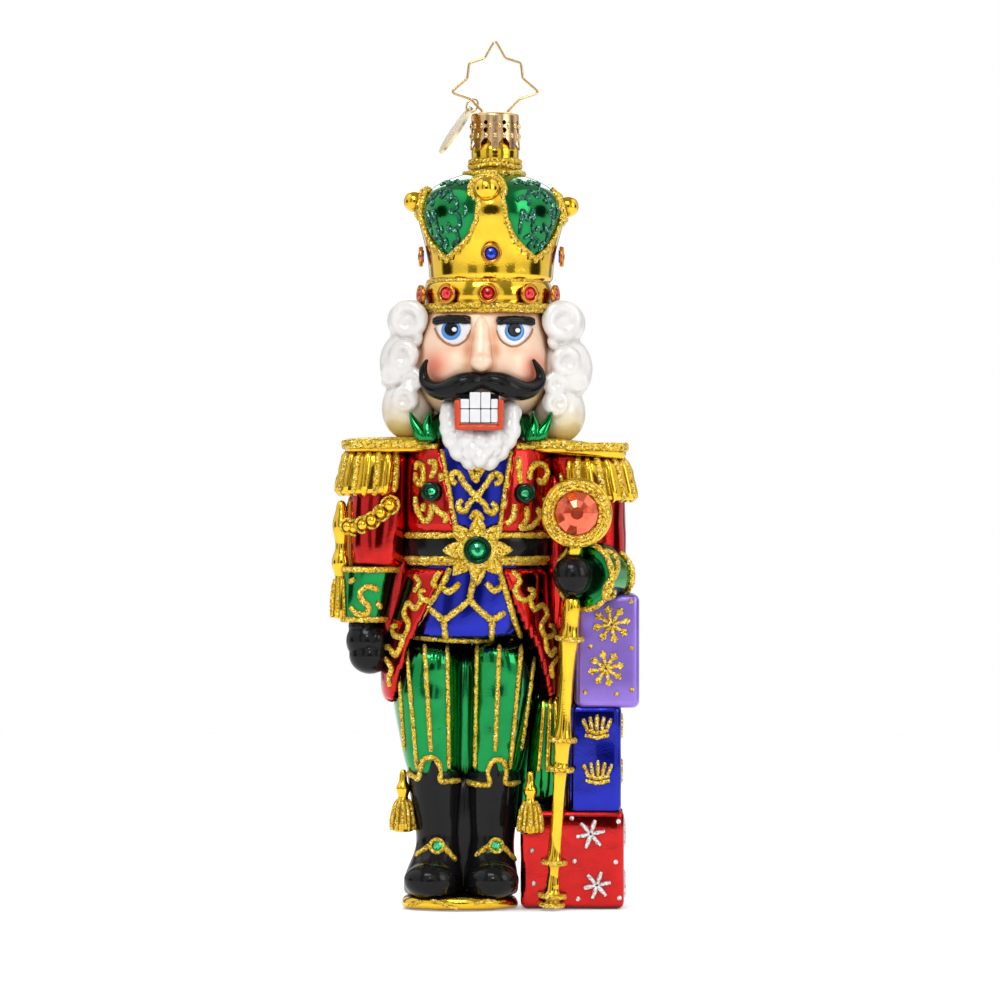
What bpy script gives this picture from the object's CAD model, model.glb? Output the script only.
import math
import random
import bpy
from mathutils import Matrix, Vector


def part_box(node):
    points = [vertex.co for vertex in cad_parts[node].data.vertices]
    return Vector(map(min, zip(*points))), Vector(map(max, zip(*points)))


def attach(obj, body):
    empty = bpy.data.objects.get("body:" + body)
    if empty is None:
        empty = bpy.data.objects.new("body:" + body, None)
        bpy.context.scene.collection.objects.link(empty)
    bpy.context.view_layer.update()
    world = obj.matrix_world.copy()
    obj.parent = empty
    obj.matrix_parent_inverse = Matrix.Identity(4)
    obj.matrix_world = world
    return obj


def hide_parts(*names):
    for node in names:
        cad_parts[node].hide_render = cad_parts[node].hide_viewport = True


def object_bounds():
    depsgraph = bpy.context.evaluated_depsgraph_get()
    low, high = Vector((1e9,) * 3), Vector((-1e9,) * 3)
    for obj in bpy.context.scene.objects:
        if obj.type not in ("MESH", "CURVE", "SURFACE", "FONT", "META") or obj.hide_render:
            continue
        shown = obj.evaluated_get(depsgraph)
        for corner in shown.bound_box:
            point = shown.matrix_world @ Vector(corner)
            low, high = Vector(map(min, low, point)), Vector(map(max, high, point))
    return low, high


bl_info = {
    "name": "Glass Nutcracker Ornament",
    "version": (1, 0, 0),
    "blender": (4, 5, 0),
    "location": "View3D > Sidebar > Nutcracker",
    "description": "Builds the lacquered glass nutcracker king, piece by piece, round its packed frame",
    "category": "Object",
}

import bpy
from mathutils import Euler, Vector
from mathutils.bvhtree import BVHTree

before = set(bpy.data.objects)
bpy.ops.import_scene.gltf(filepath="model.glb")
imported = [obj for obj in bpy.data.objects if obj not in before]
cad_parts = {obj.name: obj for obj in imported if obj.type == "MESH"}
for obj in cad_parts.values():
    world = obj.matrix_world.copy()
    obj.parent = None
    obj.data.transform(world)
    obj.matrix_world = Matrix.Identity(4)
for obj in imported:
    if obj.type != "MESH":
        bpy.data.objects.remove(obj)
CAD_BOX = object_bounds()

MM = 0.001
UP = Vector((0, 0, 1))
FRONT = Vector((0, -1, 0))
FAR = 0.12  # further out than any surface of the figure
WALL = 0.7 * MM
LINE_STEP = 0.4 * MM
SEED = 7


# ---- places from the frame ------------------------------------------------------------------------
def middle(node):
    """The middle of a node's box, in millimetres."""
    low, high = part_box(node)
    return (low + high) / 2 / MM


def low_of(node):
    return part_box(node)[0] / MM


def high_of(node):
    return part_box(node)[1] / MM


# ---- modelling by hand ------------------------------------------------------------------------------
def clear_selection():
    if bpy.context.mode != "OBJECT":
        bpy.ops.object.mode_set(mode="OBJECT")
    bpy.ops.object.select_all(action="DESELECT")


def pick(*pieces):
    """Selects only these pieces, the first one active."""
    clear_selection()
    for piece in pieces:
        piece.select_set(True)
    bpy.context.view_layer.objects.active = pieces[0]


def edit(piece):
    pick(piece)
    bpy.ops.object.mode_set(mode="EDIT")
    bpy.ops.mesh.select_all(action="SELECT")


def named(name):
    piece = bpy.context.object
    piece.name = name
    piece.data.name = name
    return piece


def settle(piece):
    """Puts the piece's place, turn and scale into its mesh."""
    pick(piece)
    bpy.ops.object.transform_apply(location=True, rotation=True, scale=True)
    return piece


def tidy(piece, merge=0.01 * MM):
    """Merges doubles and turns every face outwards."""
    edit(piece)
    bpy.ops.mesh.remove_doubles(threshold=merge)
    bpy.ops.mesh.normals_make_consistent(inside=False)
    bpy.ops.object.mode_set(mode="OBJECT")
    return piece


def modify(piece, kind, **settings):
    """Adds one modifier and applies it."""
    pick(piece)
    modifier = piece.modifiers.new(kind.lower(), kind)
    for key, value in settings.items():
        setattr(modifier, key, value)
    bpy.ops.object.modifier_apply(modifier=modifier.name)
    return piece


def smooth(piece, level=1):
    return modify(piece, "SUBSURF", levels=level, render_levels=level)


def lofted(name, rings, sides=32, level=2, corner=0.0, closed=True):
    """A form through level rings (z, x, y, half width, half depth), listed upwards, in millimetres.

    A corner above 0 makes the rings rounded rectangles, with corners of that share of their half width.
    """
    clear_selection()
    if corner > 0:
        bpy.ops.mesh.primitive_plane_add(size=2)
        piece = named(name)
        edit(piece)
        bpy.ops.mesh.bevel(offset=corner, segments=4, affect="VERTICES")
    else:
        fill = "NGON" if closed else "NOTHING"
        bpy.ops.mesh.primitive_circle_add(vertices=sides, radius=1, fill_type=fill)
        piece = named(name)
        edit(piece)
    z, x, y, wide, deep = rings[0]
    bpy.ops.transform.resize(value=(wide * MM, deep * MM, 1), center_override=(0, 0, 0))
    bpy.ops.transform.translate(value=(x * MM, y * MM, z * MM))
    for ring in rings[1:]:
        rise = ((ring[1] - x) * MM, (ring[2] - y) * MM, (ring[0] - z) * MM)
        bpy.ops.mesh.extrude_region_move(TRANSFORM_OT_translate={"value": rise})
        grow = (ring[3] / wide, ring[4] / deep, 1)
        z, x, y, wide, deep = ring
        bpy.ops.transform.resize(value=grow, center_override=(x * MM, y * MM, z * MM))
    bpy.ops.mesh.select_all(action="SELECT")
    bpy.ops.mesh.normals_make_consistent(inside=False)
    bpy.ops.object.mode_set(mode="OBJECT")
    return smooth(piece, level) if level else piece


def turned(name, x, y, profile, sides=48, level=1):
    """A round form about an upright axis; profile is (radius, z), listed upwards."""
    return lofted(name, [(z, x, y, r, r) for r, z in profile], sides, level)


def ball(name, place, radii, turn=(0, 0, 0), segments=32):
    """An egg of three radii, turned by degrees about X, Y and Z."""
    clear_selection()
    bpy.ops.mesh.primitive_uv_sphere_add(segments=segments, ring_count=segments // 2, radius=MM)
    piece = named(name)
    piece.scale = radii
    piece.rotation_euler = Euler([math.radians(a) for a in turn])
    piece.location = Vector(place) * MM
    return settle(piece)


def hoop(name, place, radius, thick, normal=(0, 0, 1), stretch=(1, 1, 1), around=40, section=10):
    """A ring of round section, its axis along normal."""
    clear_selection()
    bpy.ops.mesh.primitive_torus_add(
        major_radius=radius * MM, minor_radius=thick * MM, major_segments=around, minor_segments=section)
    piece = named(name)
    piece.scale = stretch
    piece.rotation_mode = "QUATERNION"
    piece.rotation_quaternion = UP.rotation_difference(Vector(normal))
    piece.location = Vector(place) * MM
    return settle(piece)


def joined(name, pieces):
    pick(*pieces)
    if len(pieces) > 1:
        bpy.ops.object.join()
    return named(name)


def fused(name, pieces, voxel=0.4, passes=3):
    """Melts overlapping pieces into one soft skin."""
    piece = joined(name, pieces)
    modify(piece, "REMESH", mode="VOXEL", voxel_size=voxel * MM)
    modify(piece, "SMOOTH", factor=0.5, iterations=passes)
    return piece


def push(piece, place, shift, reach):
    """Pulls the skin softly near a place by a shift, in millimetres."""
    edit(piece)
    bpy.ops.mesh.select_all(action="DESELECT")
    bpy.ops.object.mode_set(mode="OBJECT")
    target = Vector(place) * MM
    nearest = min(piece.data.vertices, key=lambda v: (v.co - target).length)
    nearest.select = True
    bpy.ops.object.mode_set(mode="EDIT")
    bpy.ops.transform.translate(
        value=Vector(shift) * MM, use_proportional_edit=True, proportional_edit_falloff="SMOOTH",
        proportional_size=reach * MM)
    bpy.ops.object.mode_set(mode="OBJECT")


def parted(piece, name, test):
    """Splits off the faces whose middle passes a test, in millimetres, as a piece of its own."""
    edit(piece)
    bpy.ops.mesh.select_mode(type="FACE")
    bpy.ops.mesh.select_all(action="DESELECT")
    bpy.ops.object.mode_set(mode="OBJECT")
    for face in piece.data.polygons:
        face.select = test(face.center / MM)
    bpy.ops.object.mode_set(mode="EDIT")
    bpy.ops.mesh.separate(type="SELECTED")
    bpy.ops.object.mode_set(mode="OBJECT")
    part = [p for p in bpy.context.selected_objects if p is not piece][0]
    part.name = name
    part.data.name = name
    return part


def walled(piece, wall=WALL, outward=-1.0):
    """Gives an open skin its wall."""
    return modify(piece, "SOLIDIFY", thickness=wall, offset=outward, use_even_offset=False)


def lumpy(piece, depth, size, seed=0):
    """Raises soft random lumps, depth and size in millimetres."""
    cloud = bpy.data.textures.new(piece.name + "_lumps", "CLOUDS")
    cloud.noise_scale = size * MM
    cloud.noise_depth = 1
    shift = Vector((0.013, 0.029, 0.017)) * (seed + 1)
    for vertex in piece.data.vertices:
        vertex.co += shift
    modify(piece, "DISPLACE", texture=cloud, texture_coords="LOCAL", strength=depth * MM, mid_level=0.5)
    for vertex in piece.data.vertices:
        vertex.co -= shift
    return piece


# ---- lines on the skin --------------------------------------------------------------------------------
def skin_of(*pieces):
    """One searchable skin of several pieces."""
    points = []
    faces = []
    for piece in pieces:
        start = len(points)
        points += [v.co.copy() for v in piece.data.vertices]
        faces += [[start + i for i in face.vertices] for face in piece.data.polygons]
    return BVHTree.FromPolygons(points, faces)


def eased(points, closed=False):
    """A smooth run of points through the given ones, a step apart."""
    points = [Vector(p) for p in points]
    count = len(points)
    spans = count if closed else count - 1
    out = []
    for k in range(spans):
        if closed:
            a, b, c, d = (points[(k + j) % count] for j in (-1, 0, 1, 2))
        else:
            b, c = points[k], points[k + 1]
            a = points[k - 1] if k else b * 2 - c
            d = points[k + 2] if k + 2 < count else c * 2 - b
        steps = max(2, int((c - b).length * MM / LINE_STEP))
        for i in range(steps):
            t = i / steps
            part = b * 2 + (c - a) * t + (a * 2 - b * 5 + c * 4 - d) * t * t
            out.append((part + (b * 3 - a - c * 3 + d) * t ** 3) / 2)
    if not closed:
        out.append(points[-1])
    return out


def laid(skin, path, behind=False):
    """Drops a path of (x, z) points, in millimetres, onto the front or the back of a skin."""
    way = -FRONT if not behind else FRONT
    out = []
    for x, z in path:
        start = Vector((x * MM, 0, z * MM)) - way * FAR
        hit = skin.ray_cast(start, way)[0]
        if hit is not None:
            out.append(hit)
    return out


def wrapped(skin, axis, heights, first=0.0, last=360.0):
    """Drops a level line onto a skin from all round an upright axis; heights may rise and fall."""
    steps = 120
    out = []
    for k in range(steps + 1):
        share = k / steps
        angle = math.radians(first + (last - first) * share)
        way = Vector((math.cos(angle), math.sin(angle), 0))
        z = heights(math.degrees(angle)) if callable(heights) else heights
        start = Vector((axis[0] * MM, axis[1] * MM, z * MM)) + way * FAR
        hit = skin.ray_cast(start, -way)[0]
        if hit is not None:
            out.append(hit)
    return out


def piping(name, runs, width, seed=0, closed=False, lump=0.16):
    """Beads of glitter glue along runs of points, all in one piece."""
    rng = random.Random(SEED + seed)
    curve = bpy.data.curves.new(name, "CURVE")
    curve.dimensions = "3D"
    curve.bevel_depth = width * MM / 2
    curve.bevel_resolution = 2
    curve.use_fill_caps = True
    for run in runs:
        if len(run) < 2:
            continue
        spline = curve.splines.new("POLY")
        spline.points.add(len(run) - 1)
        spline.use_cyclic_u = closed
        for k, place in enumerate(run):
            wobble = Vector([rng.uniform(-1, 1) for _ in range(3)]) * 0.05 * MM
            spline.points[k].co = (*(place + wobble), 1)
            end = min(k, len(run) - 1 - k)
            round_off = 1.0 if closed else (0.72, 0.92)[end] if end < 2 else 1.0
            spline.points[k].radius = round_off * rng.uniform(1 - lump, 1 + lump)
    piece = bpy.data.objects.new(name, curve)
    bpy.context.scene.collection.objects.link(piece)
    pick(piece)
    bpy.ops.object.convert(target="MESH")
    return named(name)


# ---- finishes -------------------------------------------------------------------------------------------
def group_of(name, inputs, outputs):
    """A node group with its sockets, or None in place of its tree's parts when it is made already."""
    tree = bpy.data.node_groups.new(name, "ShaderNodeTree")
    for label, kind, value in inputs:
        socket = tree.interface.new_socket(label, in_out="INPUT", socket_type=kind)
        socket.default_value = value
    for label, kind in outputs:
        tree.interface.new_socket(label, in_out="OUTPUT", socket_type=kind)
    return tree, tree.nodes.new("NodeGroupInput").outputs, tree.nodes.new("NodeGroupOutput").inputs


def node_in(tree, kind, values=(), **settings):
    """A node with settings, and values for its input sockets by name or place."""
    node = tree.nodes.new("ShaderNode" + kind)
    for key, value in settings.items():
        setattr(node, key, value)
    for key, value in dict(values).items():
        node.inputs[key].default_value = value
    return node


def ripple_group():
    """Blown glass: slow waves that bend its reflections, and a little dust under the lacquer."""
    name = "Blown Glass Ripple"
    if name in bpy.data.node_groups:
        return bpy.data.node_groups[name]
    tree, given, out = group_of(
        name, [("Wave", "NodeSocketFloat", 90.0), ("Dust", "NodeSocketFloat", 0.12)], [("Height",
                                                                                        "NodeSocketFloat")])
    link = tree.links.new
    place = node_in(tree, "TexCoord")
    slow = node_in(tree, "TexNoise", {"Detail": 1.5, "Roughness": 0.45, "Distortion": 0.4})
    fine = node_in(tree, "TexNoise", {"Scale": 2200.0, "Detail": 2.0})
    mixed = node_in(tree, "Math", operation="MULTIPLY_ADD")
    link(place.outputs["Object"], slow.inputs["Vector"])
    link(place.outputs["Object"], fine.inputs["Vector"])
    link(given["Wave"], slow.inputs["Scale"])
    link(fine.outputs[0], mixed.inputs[0])
    link(given["Dust"], mixed.inputs[1])
    link(slow.outputs[0], mixed.inputs[2])
    link(mixed.outputs[0], out["Height"])
    return tree


def pooled_group():
    """Lacquer that runs thin on crowns and pools dark in hollows and beside raised lines."""
    name = "Pooled Lacquer"
    if name in bpy.data.node_groups:
        return bpy.data.node_groups[name]
    tree, given, out = group_of(
        name,
        [("Thin", "NodeSocketColor", (1, 1, 1, 1)), ("Pooled", "NodeSocketColor", (0, 0, 0, 1)),
         ("Cloud", "NodeSocketFloat", 160.0), ("Reach", "NodeSocketFloat", 1.2 * MM)],
        [("Color", "NodeSocketColor"), ("Pool", "NodeSocketFloat")])
    link = tree.links.new
    place = node_in(tree, "TexCoord")
    cloud = node_in(tree, "TexNoise", {"Detail": 3.0, "Roughness": 0.6})
    hollow = node_in(tree, "AmbientOcclusion", samples=4)
    shade = node_in(tree, "MapRange", {"From Min": 0.35, "From Max": 0.95, "To Min": 1.0, "To Max": 0.0})
    patchy = node_in(tree, "MapRange", {"From Min": 0.45, "From Max": 0.8, "To Min": 0.0, "To Max": 0.3})
    most = node_in(tree, "Math", operation="MAXIMUM")
    mix = node_in(tree, "MixRGB")
    link(place.outputs["Object"], cloud.inputs["Vector"])
    link(given["Cloud"], cloud.inputs["Scale"])
    link(given["Reach"], hollow.inputs["Distance"])
    link(hollow.outputs["AO"], shade.inputs["Value"])
    link(cloud.outputs[0], patchy.inputs["Value"])
    link(shade.outputs[0], most.inputs[0])
    link(patchy.outputs[0], most.inputs[1])
    link(most.outputs[0], mix.inputs["Fac"])
    link(given["Thin"], mix.inputs["Color1"])
    link(given["Pooled"], mix.inputs["Color2"])
    link(mix.outputs[0], out["Color"])
    link(shade.outputs[0], out["Pool"])
    return tree


def flake_group():
    """Glitter: flakes that each lie at an angle of their own and catch the light apart."""
    name = "Glitter Flakes"
    if name in bpy.data.node_groups:
        return bpy.data.node_groups[name]
    tree, given, out = group_of(
        name,
        [("Dark", "NodeSocketColor", (0, 0, 0, 1)), ("Main", "NodeSocketColor", (1, 1, 1, 1)),
         ("Bright", "NodeSocketColor", (1, 1, 1, 1)), ("Flakes", "NodeSocketFloat", 3400.0),
         ("Tilt", "NodeSocketFloat", 0.9)],
        [("Color", "NodeSocketColor"), ("Roughness", "NodeSocketFloat"), ("Normal", "NodeSocketVector")])
    link = tree.links.new
    place = node_in(tree, "TexCoord")
    cells = node_in(tree, "TexVoronoi", {"Randomness": 1.0})
    parts = node_in(tree, "SeparateColor")
    ramp = node_in(tree, "ValToRGB")
    stops = ramp.color_ramp.elements
    stops[0].position, stops[0].color = 0.0, (0, 0, 0, 1)
    stops[1].position, stops[1].color = 0.5, (0.5, 0.5, 0.5, 1)
    stops.new(0.86).color = (0.62, 0.62, 0.62, 1)
    stops.new(0.93).color = (1, 1, 1, 1)
    low = node_in(tree, "MapRange", {"From Min": 0.0, "From Max": 0.5})
    high = node_in(tree, "MapRange", {"From Min": 0.55, "From Max": 1.0})
    first = node_in(tree, "MixRGB")
    second = node_in(tree, "MixRGB")
    rough = node_in(tree, "MapRange", {"To Min": 0.25, "To Max": 0.55})
    skew = node_in(tree, "VectorMath", {1: (0.5, 0.5, 0.5)}, operation="SUBTRACT")
    scaled = node_in(tree, "VectorMath", operation="SCALE")
    face = node_in(tree, "NewGeometry")
    added = node_in(tree, "VectorMath", operation="ADD")
    unit = node_in(tree, "VectorMath", operation="NORMALIZE")
    link(place.outputs["Object"], cells.inputs["Vector"])
    link(given["Flakes"], cells.inputs["Scale"])
    link(cells.outputs["Color"], parts.inputs[0])
    link(parts.outputs[0], ramp.inputs[0])
    link(ramp.outputs[0], low.inputs["Value"])
    link(ramp.outputs[0], high.inputs["Value"])
    link(low.outputs[0], first.inputs["Fac"])
    link(given["Dark"], first.inputs["Color1"])
    link(given["Main"], first.inputs["Color2"])
    link(high.outputs[0], second.inputs["Fac"])
    link(first.outputs[0], second.inputs["Color1"])
    link(given["Bright"], second.inputs["Color2"])
    link(parts.outputs[1], rough.inputs["Value"])
    link(cells.outputs["Color"], skew.inputs[0])
    link(skew.outputs[0], scaled.inputs[0])
    link(given["Tilt"], scaled.inputs["Scale"])
    link(face.outputs["Normal"], added.inputs[0])
    link(scaled.outputs[0], added.inputs[1])
    link(added.outputs[0], unit.inputs[0])
    link(second.outputs[0], out["Color"])
    link(rough.outputs[0], out["Roughness"])
    link(unit.outputs[0], out["Normal"])
    return tree


def bare(name):
    """A new material: its tree, its Principled BSDF and a way to link."""
    material = bpy.data.materials.new(name)
    material.use_nodes = True
    tree = material.node_tree
    return material, tree, tree.nodes["Principled BSDF"], tree.links.new


def grouped(tree, group, values=()):
    node = tree.nodes.new("ShaderNodeGroup")
    node.node_tree = group
    for key, value in dict(values).items():
        node.inputs[key].default_value = value
    return node


def rippled(tree, shader, link, wave, dust, strength):
    ripple = grouped(tree, ripple_group(), {"Wave": wave, "Dust": dust})
    bump = node_in(tree, "Bump", {"Strength": strength, "Distance": 1.0 * MM})
    link(ripple.outputs["Height"], bump.inputs["Height"])
    link(bump.outputs[0], shader.inputs["Normal"])


def lacquer(name, thin, pooled, rough=0.1, metal=1.0, coat=0.3, wave=90.0, dust=0.05, ripple=0.22, reach=1.3,
            gloss=0.5):
    """Candy lacquer over silvered glass."""
    material, tree, shader, link = bare(name)
    pool = grouped(tree, pooled_group(), {
        "Thin": (*thin, 1), "Pooled": (*pooled, 1), "Cloud": 170.0, "Reach": reach * MM})
    link(pool.outputs["Color"], shader.inputs["Base Color"])
    shader.inputs["Metallic"].default_value = metal
    shader.inputs["Specular IOR Level"].default_value = gloss
    shader.inputs["Coat Weight"].default_value = coat
    shader.inputs["Coat Roughness"].default_value = 0.03
    grade = node_in(tree, "MapRange", {"To Min": rough, "To Max": min(1.0, rough + 0.22)})
    link(pool.outputs["Pool"], grade.inputs["Value"])
    link(grade.outputs[0], shader.inputs["Roughness"])
    rippled(tree, shader, link, wave, dust, ripple)
    return material


def glitter(name, dark, main, bright, flakes=3400.0, tilt=0.9):
    """Glitter scattered on wet glue."""
    material, tree, shader, link = bare(name)
    flake = grouped(tree, flake_group(), {
        "Dark": (*dark, 1), "Main": (*main, 1), "Bright": (*bright, 1), "Flakes": flakes, "Tilt": tilt})
    link(flake.outputs["Color"], shader.inputs["Base Color"])
    link(flake.outputs["Roughness"], shader.inputs["Roughness"])
    link(flake.outputs["Normal"], shader.inputs["Normal"])
    shader.inputs["Metallic"].default_value = 0.6
    return material


def spotted(tree, link, places, reach, stretch=(1, 1, 1)):
    """A soft mask round some places, in millimetres, on Object coordinates."""
    coord = node_in(tree, "TexCoord")
    last = None
    for place in places:
        offset = node_in(tree, "VectorMath", {1: tuple(c * MM for c in place)}, operation="SUBTRACT")
        shape = node_in(tree, "VectorMath", {1: stretch}, operation="MULTIPLY")
        far = node_in(tree, "VectorMath", operation="LENGTH")
        soft = node_in(tree, "MapRange", {"From Min": 0.0, "From Max": reach * MM, "To Min": 1.0,
                                          "To Max": 0.0},
                       interpolation_type="SMOOTHSTEP")
        link(coord.outputs["Object"], offset.inputs[0])
        link(offset.outputs[0], shape.inputs[0])
        link(shape.outputs[0], far.inputs[0])
        link(far.outputs["Value"], soft.inputs["Value"])
        if last is None:
            last = soft.outputs[0]
        else:
            both = node_in(tree, "Math", operation="MAXIMUM")
            link(last, both.inputs[0])
            link(soft.outputs[0], both.inputs[1])
            last = both.outputs[0]
    return last


def satin(name, thin, pooled, rough=0.42, metal=0.2, coat=0.15, airbrush=(), reach=1.6):
    """Satin pearl lacquer; airbrush is a list of (colour, places, reach, stretch)."""
    material, tree, shader, link = bare(name)
    pool = grouped(tree, pooled_group(), {
        "Thin": (*thin, 1), "Pooled": (*pooled, 1), "Cloud": 120.0, "Reach": reach * MM})
    colour = pool.outputs["Color"]
    for tint, places, spread, stretch in airbrush:
        mix = node_in(tree, "MixRGB", {"Color2": (*tint, 1)})
        link(spotted(tree, link, places, spread, stretch), mix.inputs["Fac"])
        link(colour, mix.inputs["Color1"])
        colour = mix.outputs[0]
    link(colour, shader.inputs["Base Color"])
    shader.inputs["Metallic"].default_value = metal
    shader.inputs["Roughness"].default_value = rough
    shader.inputs["Coat Weight"].default_value = coat
    shader.inputs["Coat Roughness"].default_value = 0.16
    rippled(tree, shader, link, 120.0, 0.2, 0.25)
    return material


def crystal_finish(name, colour):
    """A foiled stone: bright metal behind clear coloured glass."""
    material, tree, shader, link = bare(name)
    coord = node_in(tree, "TexCoord")
    cells = node_in(tree, "TexVoronoi", {"Scale": 900.0})
    tone = node_in(tree, "MapRange", {"To Min": 0.75, "To Max": 1.2})
    parts = node_in(tree, "SeparateColor")
    scaled = node_in(tree, "VectorMath", {0: colour}, operation="SCALE")
    link(coord.outputs["Object"], cells.inputs["Vector"])
    link(cells.outputs["Color"], parts.inputs[0])
    link(parts.outputs[0], tone.inputs["Value"])
    link(tone.outputs[0], scaled.inputs["Scale"])
    link(scaled.outputs[0], shader.inputs["Base Color"])
    shader.inputs["Metallic"].default_value = 0.75
    shader.inputs["Roughness"].default_value = 0.12
    shader.inputs["Coat Weight"].default_value = 1.0
    return material


def metal_finish(name, colour, worn, rough=0.22, grain=900.0):
    """Thin pressed or drawn metal, with fine wear."""
    material, tree, shader, link = bare(name)
    coord = node_in(tree, "TexCoord")
    noise = node_in(tree, "TexNoise", {"Scale": grain, "Detail": 4.0})
    mix = node_in(tree, "MixRGB", {"Color1": (*colour, 1), "Color2": (*worn, 1)})
    grade = node_in(tree, "MapRange", {"To Min": rough * 0.6, "To Max": rough * 1.5})
    bump = node_in(tree, "Bump", {"Strength": 0.25, "Distance": 0.1 * MM})
    link(coord.outputs["Object"], noise.inputs["Vector"])
    link(noise.outputs[0], mix.inputs["Fac"])
    link(mix.outputs[0], shader.inputs["Base Color"])
    link(noise.outputs[0], grade.inputs["Value"])
    link(grade.outputs[0], shader.inputs["Roughness"])
    link(noise.outputs[0], bump.inputs["Height"])
    link(bump.outputs[0], shader.inputs["Normal"])
    shader.inputs["Metallic"].default_value = 1.0
    return material


FINISHES = {}


def finish_of(name):
    """Each finish is made when a piece first asks for it."""
    if name not in FINISHES:
        FINISHES[name] = FINISH_MAKERS[name]()
    return FINISHES[name]


def colours():
    return bpy.context.scene.nutcracker_colours


def flesh_airbrush():
    """Blush on the cheeks, warm shade along the nose and under the eyes, and a yellow jaw."""
    heart = middle("head")
    fore = low_of("head").y
    nose = middle("nose")

    def at(x, z, back=0.0):
        return (heart.x + x, fore + back, z)

    return [
        ((0.80, 0.50, 0.16), [at(-14.4, 114.0, 8), at(14.4, 114.0, 8), at(-15.0, 118.5, 12),
                              at(15.0, 118.5, 12)],
         6.0, (1, 0.6, 1)),
        ((0.86, 0.24, 0.14), [at(-10.9, 121.0, 3.4), at(11.9, 120.2, 4.4)], 5.6, (1, 0.6, 1)),
        ((0.66, 0.30, 0.15), [at(-2.9, 127.4), at(2.6, 127.4), at(-3.2, 124.4), at(2.8, 124.4)], 2.3,
         (1, 0.35, 0.6)),
        ((0.70, 0.36, 0.20), [(nose.x - 3.0, fore, 120.6), (nose.x + 2.8, fore, 120.6)], 1.8, (1, 0.3, 1)),
        ((0.80, 0.48, 0.32), [at(-7.2, 124.6), at(7.6, 124.4)], 3.6, (0.8, 0.3, 1.8)),
    ]


def hair_airbrush():
    """Yellow gold mist on the lowest curls."""
    low = low_of("hair_left")
    left, right = middle("hair_left"), middle("hair_right")
    return [((0.72, 0.55, 0.16), [(left.x, left.y, low.z + 1.0), (right.x, right.y, low.z + 0.6)], 9.5,
             (0.9, 0.7, 1.1))]


FINISH_MAKERS = {
    "gold": lambda: lacquer("gold_lacquer", colours().gold, (0.26, 0.105, 0.004), rough=0.09, ripple=0.22,
                            wave=70.0),
    "amber": lambda: lacquer("amber_lacquer", (0.62, 0.24, 0.02), (0.16, 0.05, 0.003), rough=0.14,
                             ripple=0.2),
    "dark_green": lambda: lacquer("dark_green_lacquer", (0.003, 0.035, 0.014), (0.001, 0.01, 0.004),
                                  rough=0.16),
    "emerald": lambda: lacquer("emerald_lacquer", colours().emerald, (0.004, 0.03, 0.014), rough=0.12),
    "ruby": lambda: lacquer("ruby_lacquer", colours().ruby, (0.06, 0.001, 0.002), rough=0.12),
    "cobalt": lambda: lacquer("cobalt_lacquer", colours().cobalt, (0.004, 0.004, 0.07), rough=0.16),
    "lavender": lambda: lacquer("lavender_lacquer", colours().lavender, (0.09, 0.04, 0.33), rough=0.34),
    "black": lambda: lacquer("black_lacquer", (0.006, 0.006, 0.007), (0.002, 0.002, 0.002), rough=0.12,
                             metal=0.0,
                             coat=0.0, gloss=0.2),
    "white": lambda: lacquer("white_enamel", (0.74, 0.74, 0.76), (0.40, 0.39, 0.40), rough=0.18, metal=0.0,
                             coat=0.5, ripple=0.1, reach=0.4),
    "blue_eye": lambda: lacquer("blue_enamel", (0.06, 0.26, 0.66), (0.02, 0.10, 0.36), rough=0.2, metal=0.0,
                                ripple=0.1, reach=0.4),
    "mouth": lambda: lacquer("mouth_enamel", (0.60, 0.05, 0.01), (0.30, 0.02, 0.004), rough=0.3, metal=0.0,
                             coat=0.0, ripple=0.2, reach=0.5),
    "flesh": lambda: satin("flesh_satin", (0.90, 0.65, 0.48), (0.52, 0.22, 0.09), airbrush=flesh_airbrush()),
    "pearl": lambda: satin("pearl_satin", (0.74, 0.73, 0.72), (0.36, 0.34, 0.34), metal=0.1, coat=0.5,
                           rough=0.26,
                           reach=0.8),
    "pearl_hair": lambda: satin("hair_satin", (0.76, 0.74, 0.72), (0.36, 0.32, 0.29), metal=0.1, coat=0.5,
                                rough=0.28,
                                airbrush=hair_airbrush(), reach=1.0),
    "tan_line": lambda: lacquer("tan_line_lacquer", (0.42, 0.16, 0.06), (0.2, 0.06, 0.02), rough=0.4,
                                metal=0.0),
    "gold_glitter": lambda: glitter("gold_glitter", (0.22, 0.11, 0.002), (0.80, 0.52, 0.025),
                                    (1.0, 0.88, 0.36)),
    "green_glitter": lambda: glitter("green_glitter", (0.002, 0.03, 0.02), (0.01, 0.13, 0.08),
                                     (0.3, 0.75, 0.55)),
    "white_glitter": lambda: glitter("white_glitter", (0.45, 0.42, 0.42), (0.8, 0.78, 0.78), (1, 1, 1)),
    "red_crystal": lambda: crystal_finish("red_crystal", (0.75, 0.015, 0.02)),
    "blue_crystal": lambda: crystal_finish("blue_crystal", (0.02, 0.07, 0.85)),
    "green_crystal": lambda: crystal_finish("green_crystal", (0.02, 0.52, 0.2)),
    "orange_crystal": lambda: crystal_finish("orange_crystal", (0.95, 0.13, 0.045)),
    "cap_metal": lambda: metal_finish("cap_metal", (0.92, 0.66, 0.36), (0.62, 0.36, 0.15)),
    "wire": lambda: metal_finish("wire_metal", (0.83, 0.60, 0.28), (0.55, 0.36, 0.14), rough=0.16),
    "tag_metal": lambda: metal_finish("tag_metal", (0.90, 0.76, 0.48), (0.66, 0.50, 0.26)),
}


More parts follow.
